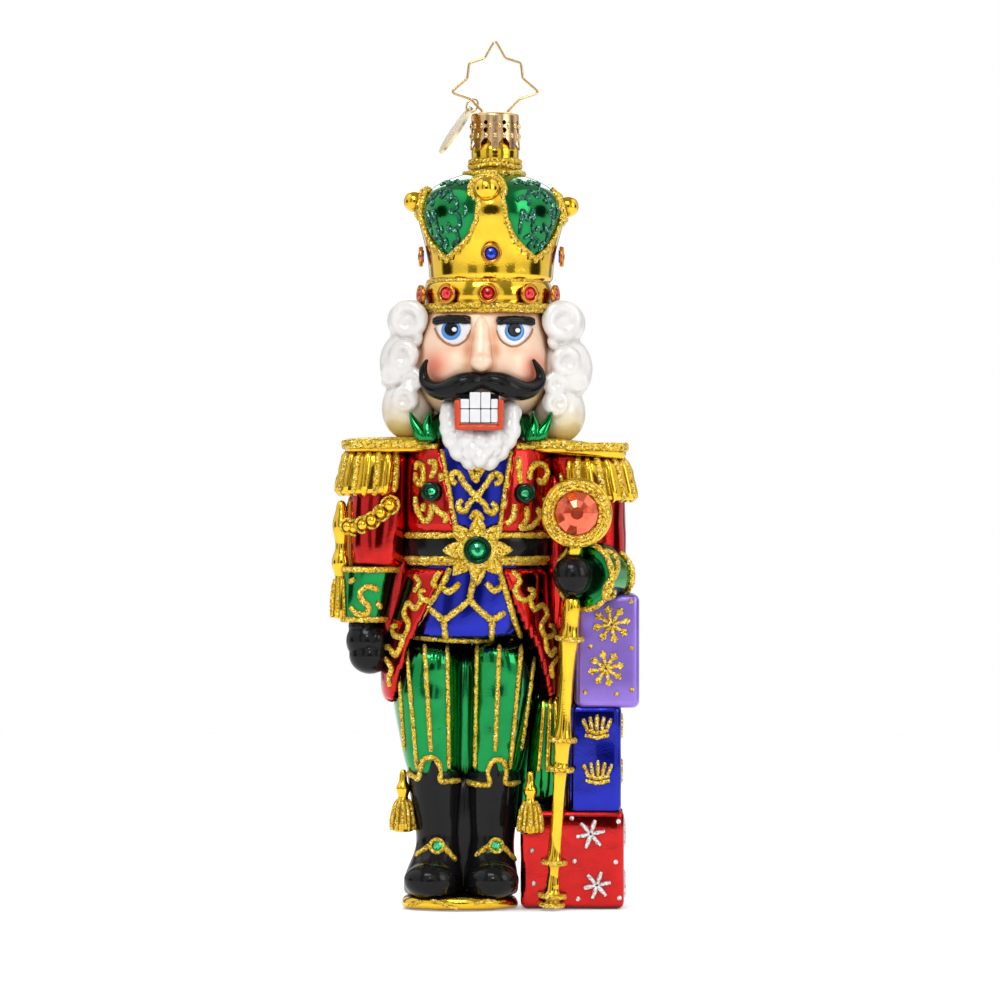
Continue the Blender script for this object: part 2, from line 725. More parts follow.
def clad(piece, finish, body="figure", nodes=(), angle=None):
    """Keeps a finished piece inside the design's box, gives it its finish, and tells the frame what it is."""
    low, high = CAD_BOX
    for vertex in piece.data.vertices:
        for axis in range(3):
            vertex.co[axis] = min(max(vertex.co[axis], low[axis]), high[axis])
    pick(piece)
    if angle is None:
        bpy.ops.object.shade_smooth()
    else:
        bpy.ops.object.shade_smooth_by_angle(angle=math.radians(angle))
    piece.data.materials.clear()
    piece.data.materials.append(finish_of(finish))
    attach(piece, body)
    if nodes:
        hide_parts(*nodes)
    return piece


def reclad(node, finish):
    """A CAD node that stays gets its finish."""
    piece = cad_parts[node]
    piece.data.materials.clear()
    piece.data.materials.append(finish_of(finish))


# ---- stage ----------------------------------------------------------------------------------------------
def between(value, table):
    """Reads a value off a table of (key, value), straight between its rows."""
    if value <= table[0][0]:
        return table[0][1]
    for (k0, v0), (k1, v1) in zip(table, table[1:]):
        if value <= k1:
            return v0 + (v1 - v0) * (value - k0) / (k1 - k0)
    return table[-1][1]


def tent_world(light):
    """A light tent: white all round, a small dark hole at each side, and a brighter top."""
    world = bpy.data.worlds.new("light_tent")
    bpy.context.scene.world = world
    world.use_nodes = True
    tree = world.node_tree
    link = tree.links.new
    shader = tree.nodes["Background"]
    shader.inputs["Color"].default_value = (1, 1, 1, 1)
    coord = node_in(tree, "TexCoord")
    split = node_in(tree, "SeparateXYZ")
    link(coord.outputs["Generated"], split.inputs[0])
    top = node_in(tree, "MapRange", {"From Min": 0.35, "From Max": 0.8, "To Min": 0.92, "To Max": 1.5})
    link(split.outputs["Z"], top.inputs["Value"])
    level = top.outputs[0]
    for axis in ("X", "Y"):
        size = node_in(tree, "Math", operation="ABSOLUTE")
        hole = node_in(tree, "MapRange", {"From Min": 0.955, "From Max": 0.985, "To Min": 1.0,
                                          "To Max": 0.04},
                       interpolation_type="SMOOTHSTEP")
        less = node_in(tree, "Math", operation="MULTIPLY")
        link(split.outputs[axis], size.inputs[0])
        link(size.outputs[0], hole.inputs["Value"])
        link(level, less.inputs[0])
        link(hole.outputs[0], less.inputs[1])
        level = less.outputs[0]
    turn = node_in(tree, "Math", operation="MULTIPLY")
    strip = node_in(tree, "MapRange", {"From Min": 0.16, "From Max": 0.24, "To Min": 0.28, "To Max": 1.0},
                    interpolation_type="SMOOTHSTEP")
    across = node_in(tree, "Math", operation="MULTIPLY_ADD")
    across.inputs[1].default_value = 1.0
    cross = node_in(tree, "Math", operation="ABSOLUTE")
    square = node_in(tree, "Math", operation="MULTIPLY")
    other = node_in(tree, "Math", operation="MULTIPLY")
    other.inputs[1].default_value = -0.55
    link(split.outputs["X"], square.inputs[0])
    link(split.outputs["X"], square.inputs[1])
    link(split.outputs["Y"], turn.inputs[0])
    link(split.outputs["Y"], turn.inputs[1])
    link(turn.outputs[0], other.inputs[0])
    link(square.outputs[0], across.inputs[0])
    link(other.outputs[0], across.inputs[2])
    link(across.outputs[0], cross.inputs[0])
    link(cross.outputs[0], strip.inputs["Value"])
    final = node_in(tree, "Math", operation="MULTIPLY")
    link(level, final.inputs[0])
    link(strip.outputs[0], final.inputs[1])
    strength = node_in(tree, "Math", {1: light}, operation="MULTIPLY")
    link(final.outputs[0], strength.inputs[0])
    seen = node_in(tree, "LightPath")
    pick_one = node_in(tree, "Mix", data_type="FLOAT")
    pick_one.inputs["B"].default_value = 1.0
    link(seen.outputs["Is Camera Ray"], pick_one.inputs["Factor"])
    link(strength.outputs[0], pick_one.inputs["A"])
    link(pick_one.outputs[0], shader.inputs["Strength"])


def soft_lamp(name, place, size, power, aim):
    clear_selection()
    bpy.ops.object.light_add(type="AREA", location=Vector(place) * MM)
    lamp = bpy.context.object
    lamp.name = name
    lamp.data.shape = "RECTANGLE"
    lamp.data.size, lamp.data.size_y = size[0] * MM, size[1] * MM
    lamp.data.energy = power
    way = (Vector(aim) - Vector(place)).to_track_quat("-Z", "Y")
    lamp.rotation_euler = way.to_euler()
    return lamp


class NUTCRACKER_OT_stage(bpy.types.Operator):
    """Sets a pale floor, a light tent, soft lamps and the camera round the figure"""
    bl_idname = "nutcracker.stage"
    bl_label = "Stage"

    def execute(self, context):
        scene = context.scene
        scene.view_settings.view_transform = "Standard"
        tent_world(context.scene.nutcracker_colours.tent)
        low, high = (Vector(c) / MM for c in CAD_BOX)
        heart = (low + high) / 2
        floor = lofted("floor", [(-0.6, heart.x, heart.y, 900, 900), (-0.05, heart.x, heart.y, 900, 900)], 96,
                       0)
        material, tree, shader, link = bare("paper_floor")
        noise = node_in(tree, "TexNoise", {"Scale": 40.0})
        tone = node_in(tree, "MapRange", {"To Min": 0.90, "To Max": 0.93})
        coord = node_in(tree, "TexCoord")
        link(coord.outputs["Object"], noise.inputs["Vector"])
        link(noise.outputs[0], tone.inputs["Value"])
        link(tone.outputs[0], shader.inputs["Base Color"])
        shader.inputs["Roughness"].default_value = 0.9
        shader.inputs["Emission Color"].default_value = (1, 1, 1, 1)
        shader.inputs["Emission Strength"].default_value = 0.3
        shader.inputs["Specular IOR Level"].default_value = 0.1
        floor.data.materials.append(material)
        for name, place, size, power in (
                ("key_lamp", (-120, -420, 560), (260, 200), 1.3),
                ("fill_lamp", (420, -300, 260), (200, 320), 0.5),
                ("softbox", (-40, -900, 520), (90, 60), 0.55),
                ("back_lamp", (0, 460, 420), (360, 240), 0.6)):
            soft_lamp(name, place, size, power, heart)
        bpy.ops.object.camera_add()
        camera = named_camera("camera")
        camera.data.lens = 193
        camera.data.clip_end = 20
        camera.location = (heart + Vector((3.5, -1200, -5.8))) * MM
        camera.rotation_euler = Euler((math.radians(90), 0, 0))
        scene.camera = camera
        return {"FINISHED"}


def named_camera(name):
    camera = bpy.context.object
    camera.name = name
    return camera


# ---- crown ----------------------------------------------------------------------------------------------
ARM_HALF = [(140.0, 46), (144.4, 46), (145.8, 37), (147.4, 27), (149.7, 18), (153.0, 12), (157.0, 9.5),
            (160.4, 9)]
ARM_TOP = 160.4


def crown_angle(x, y):
    """Degrees from the nearest of the four arms."""
    turn = math.degrees(math.atan2(x, -y)) % 90
    return min(turn, 90 - turn)


class NUTCRACKER_OT_crown(bpy.types.Operator):
    """Crown: green dome in a gold frame, four balls, the band, crystals and glitter"""
    bl_idname = "nutcracker.crown"
    bl_label = "Crown"

    def execute(self, context):
        axis = middle("crown_dome")
        band_axis = middle("crown_band")
        cx, bx = axis.x, band_axis.x
        profile = [(13.0, 139.4), (13.2, 141.0), (13.3, 144.0), (14.3, 149.0), (15.5, 153.0), (15.9, 156.0),
                   (15.2, 158.8), (13.0, 161.2), (9.5, 162.9), (6.5, 163.8), (4.9, 164.2)]
        dome = turned("crown_dome_glass", cx, 0, profile, sides=48, level=2)
        skin = skin_of(dome)

        def gilded(c):
            return c.z < ARM_TOP and crown_angle(c.x - cx, c.y) < between(c.z, ARM_HALF)

        frame_piece = parted(dome, "crown_frame_gold", gilded)
        walled(dome)
        lumpy(frame_piece, 0.12, 7, 3)
        walled(frame_piece, 1.0 * MM, 0.35)
        clad(dome, "emerald", nodes=["crown_dome"])
        clad(frame_piece, "gold", nodes=["crown_frame"])

        edges = []
        for quarter in range(4):
            run = []
            heights = [ARM_TOP - 0.9 * k for k in range(17)] + [145.0, 144.7]
            for side in (-1, 1):
                for z in heights if side < 0 else heights[::-1]:
                    half = between(z, ARM_HALF)
                    angle = math.radians(90 * quarter + (half if side < 0 else 90 - half))
                    way = Vector((math.sin(angle), -math.cos(angle), 0))
                    hit = skin.ray_cast(Vector((cx * MM, 0, z * MM)) + way * FAR, -way)[0]
                    run.append(hit + way * 0.35 * MM)
            edges.append(run)
        waist = wrapped(skin, (cx, 0), lambda a: 140.4 + 0.5 * math.cos(math.radians(4 * (a - 90))))
        edges.append(waist)
        balls = []
        seats = [(-1.0, -15.6, 160.0, 2.8), (-17.2, 0, 157.9, 2.35), (17.2, 0, 156.8, 2.35),
                 (0, 16.8, 157.6, 2.5)]
        for x, y, z, r in seats:
            place = Vector((cx + x, y, z))
            balls.append(ball("crown_ball", place, (r, r, r)))
            out = Vector((x, y, 4.0)).normalized()
            seat = place - out * 1.3
            ring = [p * MM for p in circle_round(seat, out, r + 0.5)]
            edges.append(ring + ring[:1])
            edges.append([p * MM for p in circle_round(seat - out * 0.7, out, r + 1.1)])
        clad(joined("crown_balls_gold", balls), "gold", nodes=["crown_balls"])

        band = turned("crown_band_gold", bx, 0, [
            (12.9, 132.6), (14.0, 133.4), (14.7, 134.4), (14.2, 135.0), (14.5, 136.2), (14.6, 137.6), (14.2,
                                                                                                       138.8),
            (14.0, 139.4), (13.4, 140.2)], sides=48, level=2)
        lumpy(band, 0.2, 8, 5)
        band_skin = skin_of(band)
        clad(band, "gold", nodes=["crown_band"])
        edges.append(wrapped(band_skin, (bx, 0), 134.2))
        edges.append(wrapped(band_skin, (bx, 0), 133.3))
        edges.append(wrapped(band_skin, (bx, 0), 139.8))
        line = piping("crown_glitter_lines", edges, 1.3, seed=1)
        clad(line, "gold_glitter")

        scrolls = []
        for quarter in range(4):
            for dx, dz, marks in crown_marks():
                for mark in marks:
                    run = []
                    for x, z in eased(mark):
                        angle = math.radians(90 * quarter + 45 + (dx + x) * 3.9)
                        way = Vector((math.sin(angle), -math.cos(angle), 0))
                        start = Vector((cx * MM, 0, (dz + z) * MM)) + way * FAR
                        hit = skin.ray_cast(start, -way)[0]
                        run.append(hit + way * 0.08 * MM)
                    scrolls.append(run)
        top_ring = [p * MM for p in circle_round(Vector((cx + 0.6, 0, 164.0)), UP, 6.4)]
        edges_top = [top_ring + top_ring[:1]]
        clad(piping("crown_green_scrolls", scrolls, 0.85, seed=2), "green_glitter")
        clad(piping("crown_top_glitter", edges_top, 1.5, seed=3), "gold_glitter")
        gem_settings("crown_settings", ["crown_rubies", "crown_sapphires"], 0.5)
        reclad("crown_rubies", "red_crystal")
        reclad("crown_sapphires", "blue_crystal")
        return {"FINISHED"}


def crown_marks():
    """Green glitter figures on one window, as steps round the crown and heights: hooks, loops and a tall M."""
    return [
        (-3.4, 152.6, [[(-1.6, -2.6), (-1.4, 2.6), (0.0, 0.4), (1.2, 2.8), (1.6, -1.6), (2.6, -2.0),
                        (3.0, -0.8)],
                       [(-2.6, 4.6), (-1.2, 5.6), (0.4, 4.8), (0.0, 3.8)]]),
        (-1.8, 147.6, [[(-2.0, 1.4), (-0.4, 2.2), (0.6, 0.8), (-0.4, 0.0), (0.4, -1.4)],
                       [(1.4, -0.6), (2.2, 0.8), (1.4, 1.8)]]),
        (2.8, 153.8, [[(-1.8, 3.8), (0.6, 4.2), (1.4, 2.0), (-0.4, 1.2), (1.6, 0.4), (1.6, -2.2),
                       (-0.6, -2.6),
                       (-1.4, -1.2)], [(2.8, 3.0), (3.6, 1.4), (2.8, 0.0)]]),
        (2.0, 148.2, [[(-1.2, 2.4), (1.2, 2.6), (1.8, 0.4), (0.2, -0.2), (-0.4, -1.8)]]),
        (0.2, 158.6, [[(-3.8, -0.6), (-2.2, 1.2), (-0.6, -0.4), (0.8, 1.3), (2.4, -0.3), (1.6, -1.6)]]),
        (0.0, 161.6, [[(-5.0, -0.4), (-3.2, 0.5), (-1.2, -0.4), (0.8, 0.5), (2.8, -0.4), (4.8, 0.4)]]),
    ]


def circle_round(place, normal, radius, steps=36, first=0.0, last=360.0):
    """Points of a circle about a normal, in the units of its place."""
    normal = Vector(normal).normalized()
    side = normal.orthogonal().normalized()
    other = normal.cross(side)
    out = []
    for k in range(steps):
        angle = math.radians(first + (last - first) * k / steps)
        out.append(Vector(place) + (side * math.cos(angle) + other * math.sin(angle)) * radius)
    return out


def stones_of(node):
    """The middle and outward way of each loose stone of a CAD node, in metres."""
    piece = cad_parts[node]
    mesh = piece.data
    links = {v.index: v.index for v in mesh.vertices}

    def root(i):
        while links[i] != i:
            links[i] = links[links[i]]
            i = links[i]
        return i

    spot = {}
    for v in mesh.vertices:
        key = tuple(round(c, 6) for c in v.co)
        if key in spot:
            links[root(v.index)] = root(spot[key])
        spot[key] = v.index
    for edge in mesh.edges:
        links[root(edge.vertices[0])] = root(edge.vertices[1])
    groups = {}
    for v in mesh.vertices:
        groups.setdefault(root(v.index), []).append(piece.matrix_world @ v.co)
    out = []
    for group in groups.values():
        place = sum(group, Vector()) / len(group)
        out.append((place, max((p - place).length for p in group)))
    return out


def gem_settings(name, nodes, width):
    """A raised lacquered rim round each stone of the crown."""
    rims = []
    for node in nodes:
        axis = middle(node) * MM
        for place, reach in stones_of(node):
            out = Vector((place.x - axis.x, place.y - axis.y, 0)).normalized()
            rims.append(hoop("rim", (place - out * 0.2 * MM) / MM, reach / MM + 0.1, width, out))
    clad(joined(name, rims), "amber")


# ---- head and face --------------------------------------------------------------------------------------
def patch(name, skin, outline, lift, wall):
    """A thin painted patch on the skin inside a smooth (x, z) outline, standing proud by lift."""
    rim = eased(outline, closed=True)
    cx = sum(p.x for p in rim) / len(rim)
    cz = sum(p.y for p in rim) / len(rim)
    rings = (1.0, 0.8, 0.55, 0.28)
    points = []
    for share in rings:
        points += laid(skin, [(cx + (p.x - cx) * share, cz + (p.y - cz) * share) for p in rim])
    points += laid(skin, [(cx, cz)])
    count = len(rim)
    faces = []
    for ring in range(len(rings) - 1):
        for k in range(count):
            a, b = ring * count + k, ring * count + (k + 1) % count
            faces.append((a, b, b + count, a + count))
    last = (len(rings) - 1) * count
    for k in range(count):
        faces.append((last + k, last + (k + 1) % count, len(points) - 1))
    mesh = bpy.data.meshes.new(name)
    mesh.from_pydata([p + FRONT * lift * MM for p in points], [], faces)
    piece = bpy.data.objects.new(name, mesh)
    bpy.context.scene.collection.objects.link(piece)
    tidy(piece)
    if sum(face.normal.y for face in mesh.polygons) > 0:
        edit(piece)
        bpy.ops.mesh.flip_normals()
        bpy.ops.object.mode_set(mode="OBJECT")
    return walled(piece, wall * MM)


def oval(cx, cz, rx, rz, steps=14):
    return [(cx + rx * math.cos(2 * math.pi * k / steps), cz + rz * math.sin(2 * math.pi * k / steps))
            for k in range(steps)]


def tube_run(name, points, flat=1.0, level=1):
    """A tube through (x, y, z, radius) points."""
    curve = bpy.data.curves.new(name, "CURVE")
    curve.dimensions = "3D"
    curve.bevel_depth = MM
    curve.bevel_resolution = 6
    curve.use_fill_caps = True
    spline = curve.splines.new("NURBS")
    spline.points.add(len(points) - 1)
    spline.order_u = 4
    spline.use_endpoint_u = True
    spline.resolution_u = 8
    for k, (x, y, z, radius) in enumerate(points):
        spline.points[k].co = (x * MM, y * MM * flat, z * MM, 1)
        spline.points[k].radius = radius
    piece = bpy.data.objects.new(name, curve)
    bpy.context.scene.collection.objects.link(piece)
    pick(piece)
    bpy.ops.object.convert(target="MESH")
    return tidy(named(name))


EYES = ((-6.8, 128.4, -1), (7.3, 128.2, 1))


class NUTCRACKER_OT_head(bpy.types.Operator):
    """Head: satin face with nose and blush, eyes, brows, moustache, teeth and beard"""
    bl_idname = "nutcracker.head"
    bl_label = "Head and face"

    def execute(self, context):
        head = lofted("head_satin", [
            (109.0, 0, 0, 8.0, 8.6), (111.0, 0, -0.2, 11.0, 11.0), (114.0, 0, -0.3, 13.9, 13.6),
            (118.0, 0, -0.2, 15.0, 14.8), (121.5, 0, 0, 15.2, 14.9), (125.0, 0, 0, 14.9, 14.6),
            (129.0, 0.2, 0, 14.4, 14.2), (133.0, 0.6, 0, 13.6, 13.2), (134.6, 0.8, 0, 12.0, 11.8)], 40, 2)
        for x, z, shift, reach in ((-9.8, 121.0, 1.1, 6.0), (10.6, 120.6, 1.1, 6.0), (-6.8, 128.2, -0.7, 5.0),
                                   (7.3, 128.0, -0.7, 5.0), (-0.3, 127.0, 0.9, 3.4)):
            push(head, (x, -14.6, z), (0, -shift, 0), reach)
        nose = fused("nose_satin", [
            ball("nose_ball", (-0.3, -16.0, 121.5), (2.5, 2.7, 2.25)),
            tube_run("nose_bridge", [(-0.2, -10.6, 132.6, 2.0), (-0.2, -12.3, 129.6, 2.2),
                                     (-0.2, -13.7, 126.4, 2.3),
                                     (-0.3, -14.8, 123.6, 2.3), (-0.3, -15.4, 121.8, 2.3)])], 0.35, 5)
        skin = skin_of(head)
        clad(head, "flesh", nodes=["head"])
        clad(nose, "flesh", nodes=["nose"])

        whites, irises, pupils, sparks, brows, lids = [], [], [], [], [], []
        for x, z, side in EYES:
            white = [(-3.9, 1.7), (-1.8, 2.1), (0.6, 2.1), (3.3, 1.8), (3.6, 0.9), (2.7, -0.9), (1.0, -2.4),
                     (-0.9, -2.8), (-2.9, -1.7), (-3.9, 0.2)]
            whites.append(patch("eye_white", skin, [(x + side * a, z + b) for a, b in white], 0.35, 0.5))
            irises.append(patch("eye_iris", skin, oval(x - 0.2, z + 0.3, 2.15, 2.1), 0.48, 0.4))
            pupils.append(patch("eye_pupil", skin, oval(x - 0.2, z + 0.6, 1.5, 1.5), 0.60, 0.4))
            sparks.append(patch("eye_spark", skin, oval(x + 0.5, z + 0.5, 0.55, 0.5, 8), 0.72, 0.3))
            for rise in (0.0, 0.45):
                brow = [(-4.1, 2.35), (-1.6, 2.5), (1.2, 2.55), (4.0, 2.3)]
                rest = laid(skin, eased_pairs([(x + side * a, z + b + rise) for a, b in brow]))
                brows.append([p + FRONT * 0.35 * MM for p in rest])
            lid = [(-4.1, 0.4), (-3.1, -1.8), (-1.0, -3.0), (1.0, -2.6), (2.8, -1.1), (3.8, 0.9)]
            lids.append(laid(skin, eased_pairs([(x + side * a, z + b) for a, b in lid])))
        clad(joined("eye_whites_enamel", whites), "white", nodes=["eye_whites"])
        clad(joined("eye_irises_enamel", irises), "blue_eye", nodes=["eye_irises"])
        clad(joined("eye_pupils_enamel", pupils), "black", nodes=["eye_pupils"])
        clad(joined("eye_sparks_enamel", sparks), "white")
        brow_piece = piping("brows_enamel", brows, 1.5, seed=5, lump=0.04)
        clad(brow_piece, "black", nodes=["brows"])
        lid_piece = piping("eye_lids_line", lids, 0.6, seed=6, lump=0.1)
        clad(lid_piece, "tan_line")

        strands = []
        for side, tip in ((-1, (12.9, 122.3)), (1, (11.8, 122.4))):
            strands.append(tube_run("moustache_half", [
                (-0.3 + side * 0.2, -15.6, 117.5, 1.7), (side * 3.2, -16.6, 117.3, 2.75), (side * 6.4, -15.6,
                                                                                           115.7, 2.7),
                (side * 9.6, -13.6, 115.0, 2.1), (side * 12.4, -11.2, 116.4, 1.5), (side * 13.4, -10.3, 118.8,
                                                                                    1.1),
                (side * (tip[0] + 0.2), -11.0, 121.0, 0.75), (side * (tip[0] - 0.7), -11.6, tip[1], 0.35)]))
        moustache = fused("moustache_lacquer", strands, 0.28, 3)
        clad(moustache, "black", nodes=["moustache"])
        hairlines = []
        hair_skin = skin_of(moustache)
        for side in (-1, 1):
            for drop in (0.9, 0.0, -0.9):
                path = [(side * 1.0, 117.8 + drop * 0.7), (side * 4.0, 117.4 + drop),
                        (side * 7.6, 115.6 + drop),
                        (side * 10.6, 115.3 + drop * 0.7)]
                hairlines.append([p + FRONT * -0.05 * MM for p in laid(hair_skin, eased_pairs(path))])
        clad(piping("moustache_strands", hairlines, 0.42, seed=8, lump=0.08), "black")

        frame_low = low_of("mouth_frame")
        lip = []
        left, right, low, top = -6.1, 4.6, frame_low.z - 0.5, 113.2
        corners = [(left + 0.6, top), (left + 0.6, low + 0.9), (right - 0.6, low + 0.9), (right - 0.6, top)]
        depth = low_of("mouth_frame").y * 0.97
        run = []
        for (x0, z0), (x1, z1) in zip(corners, corners[1:]):
            run += [Vector((x0 + (x1 - x0) * k / 14, depth, z0 + (z1 - z0) * k / 14)) * MM for k in range(14)]
        run.append(Vector((corners[-1][0], depth, corners[-1][1])) * MM)
        lip.append(run)
        clad(piping("mouth_frame_enamel", lip, 1.5, seed=9, lump=0.07), "mouth",
             nodes=["mouth_frame"])
        blocks = []
        columns = [(-4.9, -2.95), (-2.85, -0.45), (-0.35, 1.75), (1.85, 3.4)]
        for x0, x1 in columns:
            for z0, z1 in ((108.2, 111.15), (111.3, 114.9 if abs(x0 + x1 + 1.2) < 4 else 113.4)):
                clear_selection()
                bpy.ops.mesh.primitive_cube_add(size=1)
                tooth = named("tooth")
                tooth.scale = ((x1 - x0) * MM, 2.2 * MM, (z1 - z0) * MM)
                tooth.location = Vector(((x0 + x1) / 2, depth + 0.7, (z0 + z1) / 2)) * MM
                settle(tooth)
                edit(tooth)
                bpy.ops.mesh.bevel(offset=0.22 * MM, segments=3)
                bpy.ops.object.mode_set(mode="OBJECT")
                blocks.append(tooth)
        clad(joined("teeth_enamel", blocks), "white", nodes=["teeth"], angle=50)
        clear_selection()
        bpy.ops.mesh.primitive_cube_add(size=1)
        gap = named("teeth_gap_line")
        gap.scale = (8.6 * MM, 2.0 * MM, 6.4 * MM)
        gap.location = Vector((-0.7, depth + 0.95, 111.3)) * MM
        clad(settle(gap), "black", angle=30)

        rng = random.Random(SEED + 11)
        curls = []
        rows = [(111.0, 8.4, 3), (109.2, 8.5, 4), (107.0, 8.3, 4), (104.6, 7.7, 5), (102.2, 6.2, 4),
                (100.2, 3.8, 3)]
        for z, half, count in rows:
            for k in range(count):
                share = 2 * k / (count - 1) - 1 if count > 1 else 0
                x = -0.6 + share * (half - 1.6)
                if 106.4 < z and abs(x + 0.6) < 5.2:
                    continue
                y = -11.4 - 3.6 * math.sqrt(max(0.0, 1 - share * share * 0.8)) + 0.6 * (z - 100) / 12
                size = rng.uniform(1.9, 2.5)
                curls.append(ball("beard_curl", (x, y, z + rng.uniform(-0.4, 0.4)),
                                  (size, size, size * 1.15), (0, rng.uniform(-30, 30), 0), 16))
        for side, x in ((-1, -7.4), (1, 6.6)):
            curls.append(hoop("beard_ring", (x, -12.4, 110.4), 1.5, 0.75, (side * 0.3, -1, 0.1)))
            curls.append(hoop("beard_ring", (x * 0.9, -13.2, 105.8), 1.4, 0.75, (side * 0.2, -1, 0)))
        curls.append(ball("beard_heart", (-0.6, -10.2, 106.2), (7.6, 4.6, 7.0)))
        curls.append(hoop("beard_ring", (-2.6, -15.2, 101.6), 1.3, 0.7, (0, -1, -0.3)))
        curls.append(hoop("beard_ring", (2.2, -15.0, 102.4), 1.3, 0.7, (0, -1, -0.3)))
        beard = fused("beard_pearl", curls, 0.3, 3)
        clad(beard, "pearl", nodes=["beard"])
        return {"FINISHED"}


def eased_pairs(points):
    return [(p.x, p.y) for p in eased(points)]


# ---- hair -----------------------------------------------------------------------------------------------
HAIR_LOBES = {
    -1: [(-16.6, -0.8, 131.2, 4.8, 5.4, 4.6), (-17.2, -0.6, 121.8, 5.9, 6.2, 7.2),
         (-16.8, -0.4, 111.6, 5.8, 6.2, 7.0)],
    1: [(17.8, -0.8, 130.6, 5.2, 5.4, 5.0), (18.4, -0.6, 120.4, 6.2, 6.2, 7.4),
        (17.2, -0.4, 110.6, 5.8, 6.2, 6.8)],
}
HAIR_RINGS = {
    -1: [(-16.3, -5.6, 131.5, 3.0, 1.5), (-17.5, -6.4, 123.4, 2.3, 1.3), (-15.6, -6.4, 118.0, 1.6, 1.15),
         (-17.2, -6.2, 113.6, 2.0, 1.25), (-20.2, -4.2, 119.2, 1.6, 1.15), (-15.6, -5.2, 127.2, 1.5, 1.1)],
    1: [(17.6, -5.6, 131.1, 3.2, 1.6), (18.4, -6.4, 122.0, 2.3, 1.3), (16.0, -6.4, 117.0, 1.6, 1.15),
        (16.2, -6.2, 112.6, 2.0, 1.25), (21.2, -4.2, 117.6, 1.6, 1.15), (16.8, -5.2, 126.6, 1.5, 1.1)],
}


class NUTCRACKER_OT_hair(bpy.types.Operator):
    """Hair: thick satin-white curls at both sides and behind"""
    bl_idname = "nutcracker.hair"
    bl_label = "Hair"

    def execute(self, context):
        rng = random.Random(SEED + 21)
        for side, label in ((-1, "left"), (1, "right")):
            curls = []
            for x, y, z, r, thick in HAIR_RINGS[side]:
                tilt = (side * 0.35, -1, rng.uniform(-0.2, 0.2))
                curls.append(hoop("hair_ring", (x, y, z), r, thick, tilt, around=32))
                curls.append(ball("hair_dimple", (x, y + 0.5, z), (r, 0.9, r)))
            for x, y, z, wide, deep, tall in HAIR_LOBES[side]:
                curls.append(ball("hair_lobe", (x, y, z), (wide, deep, tall)))
            for k in range(5):
                z = 108.5 + 5.2 * k
                out = (side * 1.0, 0.25 + 0.3 * math.sin(k * 2.4), 0)
                curls.append(hoop("hair_side_ring", (side * (21.6 - 0.22 * abs(z - 119)),
                                                     0.6 * math.cos(k * 1.9), z), 1.6,
                                  1.1, out, around=24))
            piece = fused("hair_" + label + "_pearl", curls, 0.4, 4)
            clad(piece, "pearl_hair", nodes=["hair_" + label])
        curls = [ball("hair_back_body", (0.2, 5.4, 119.8), (16.0, 12.2, 14.0), segments=48)]
        for row, (z, reach) in enumerate(((131.0, 13.4), (127.0, 15.6), (123.0, 16.4), (119.0, 16.6),
                                          (115.0, 16.0), (111.0, 14.2), (108.0, 12.0))):
            for k in range(7):
                angle = math.radians(90 + (k - 3) * 24 + (12 if row % 2 else 0))
                x, y = 0.2 + reach * 0.97 * math.cos(angle), 5.0 + reach * 0.74 * math.sin(angle) - 1.0
                out = (math.cos(angle), math.sin(angle), 0)
                curls.append(hoop("hair_ring", (x, y, z), 1.7, 1.15, out, around=24, section=8))
        piece = fused("hair_back_pearl", curls, 0.42, 4)
        clad(piece, "pearl_hair", nodes=["hair_back"])
        return {"FINISHED"}


# ---- torso and coat -------------------------------------------------------------------------------------
def lapel(z, side):
    """Where the coat's front edge lies at a height."""
    rise = (z - 84.0) / 19.0
    return -6.0 - 3.4 * rise if side < 0 else 3.9 + 2.8 * rise


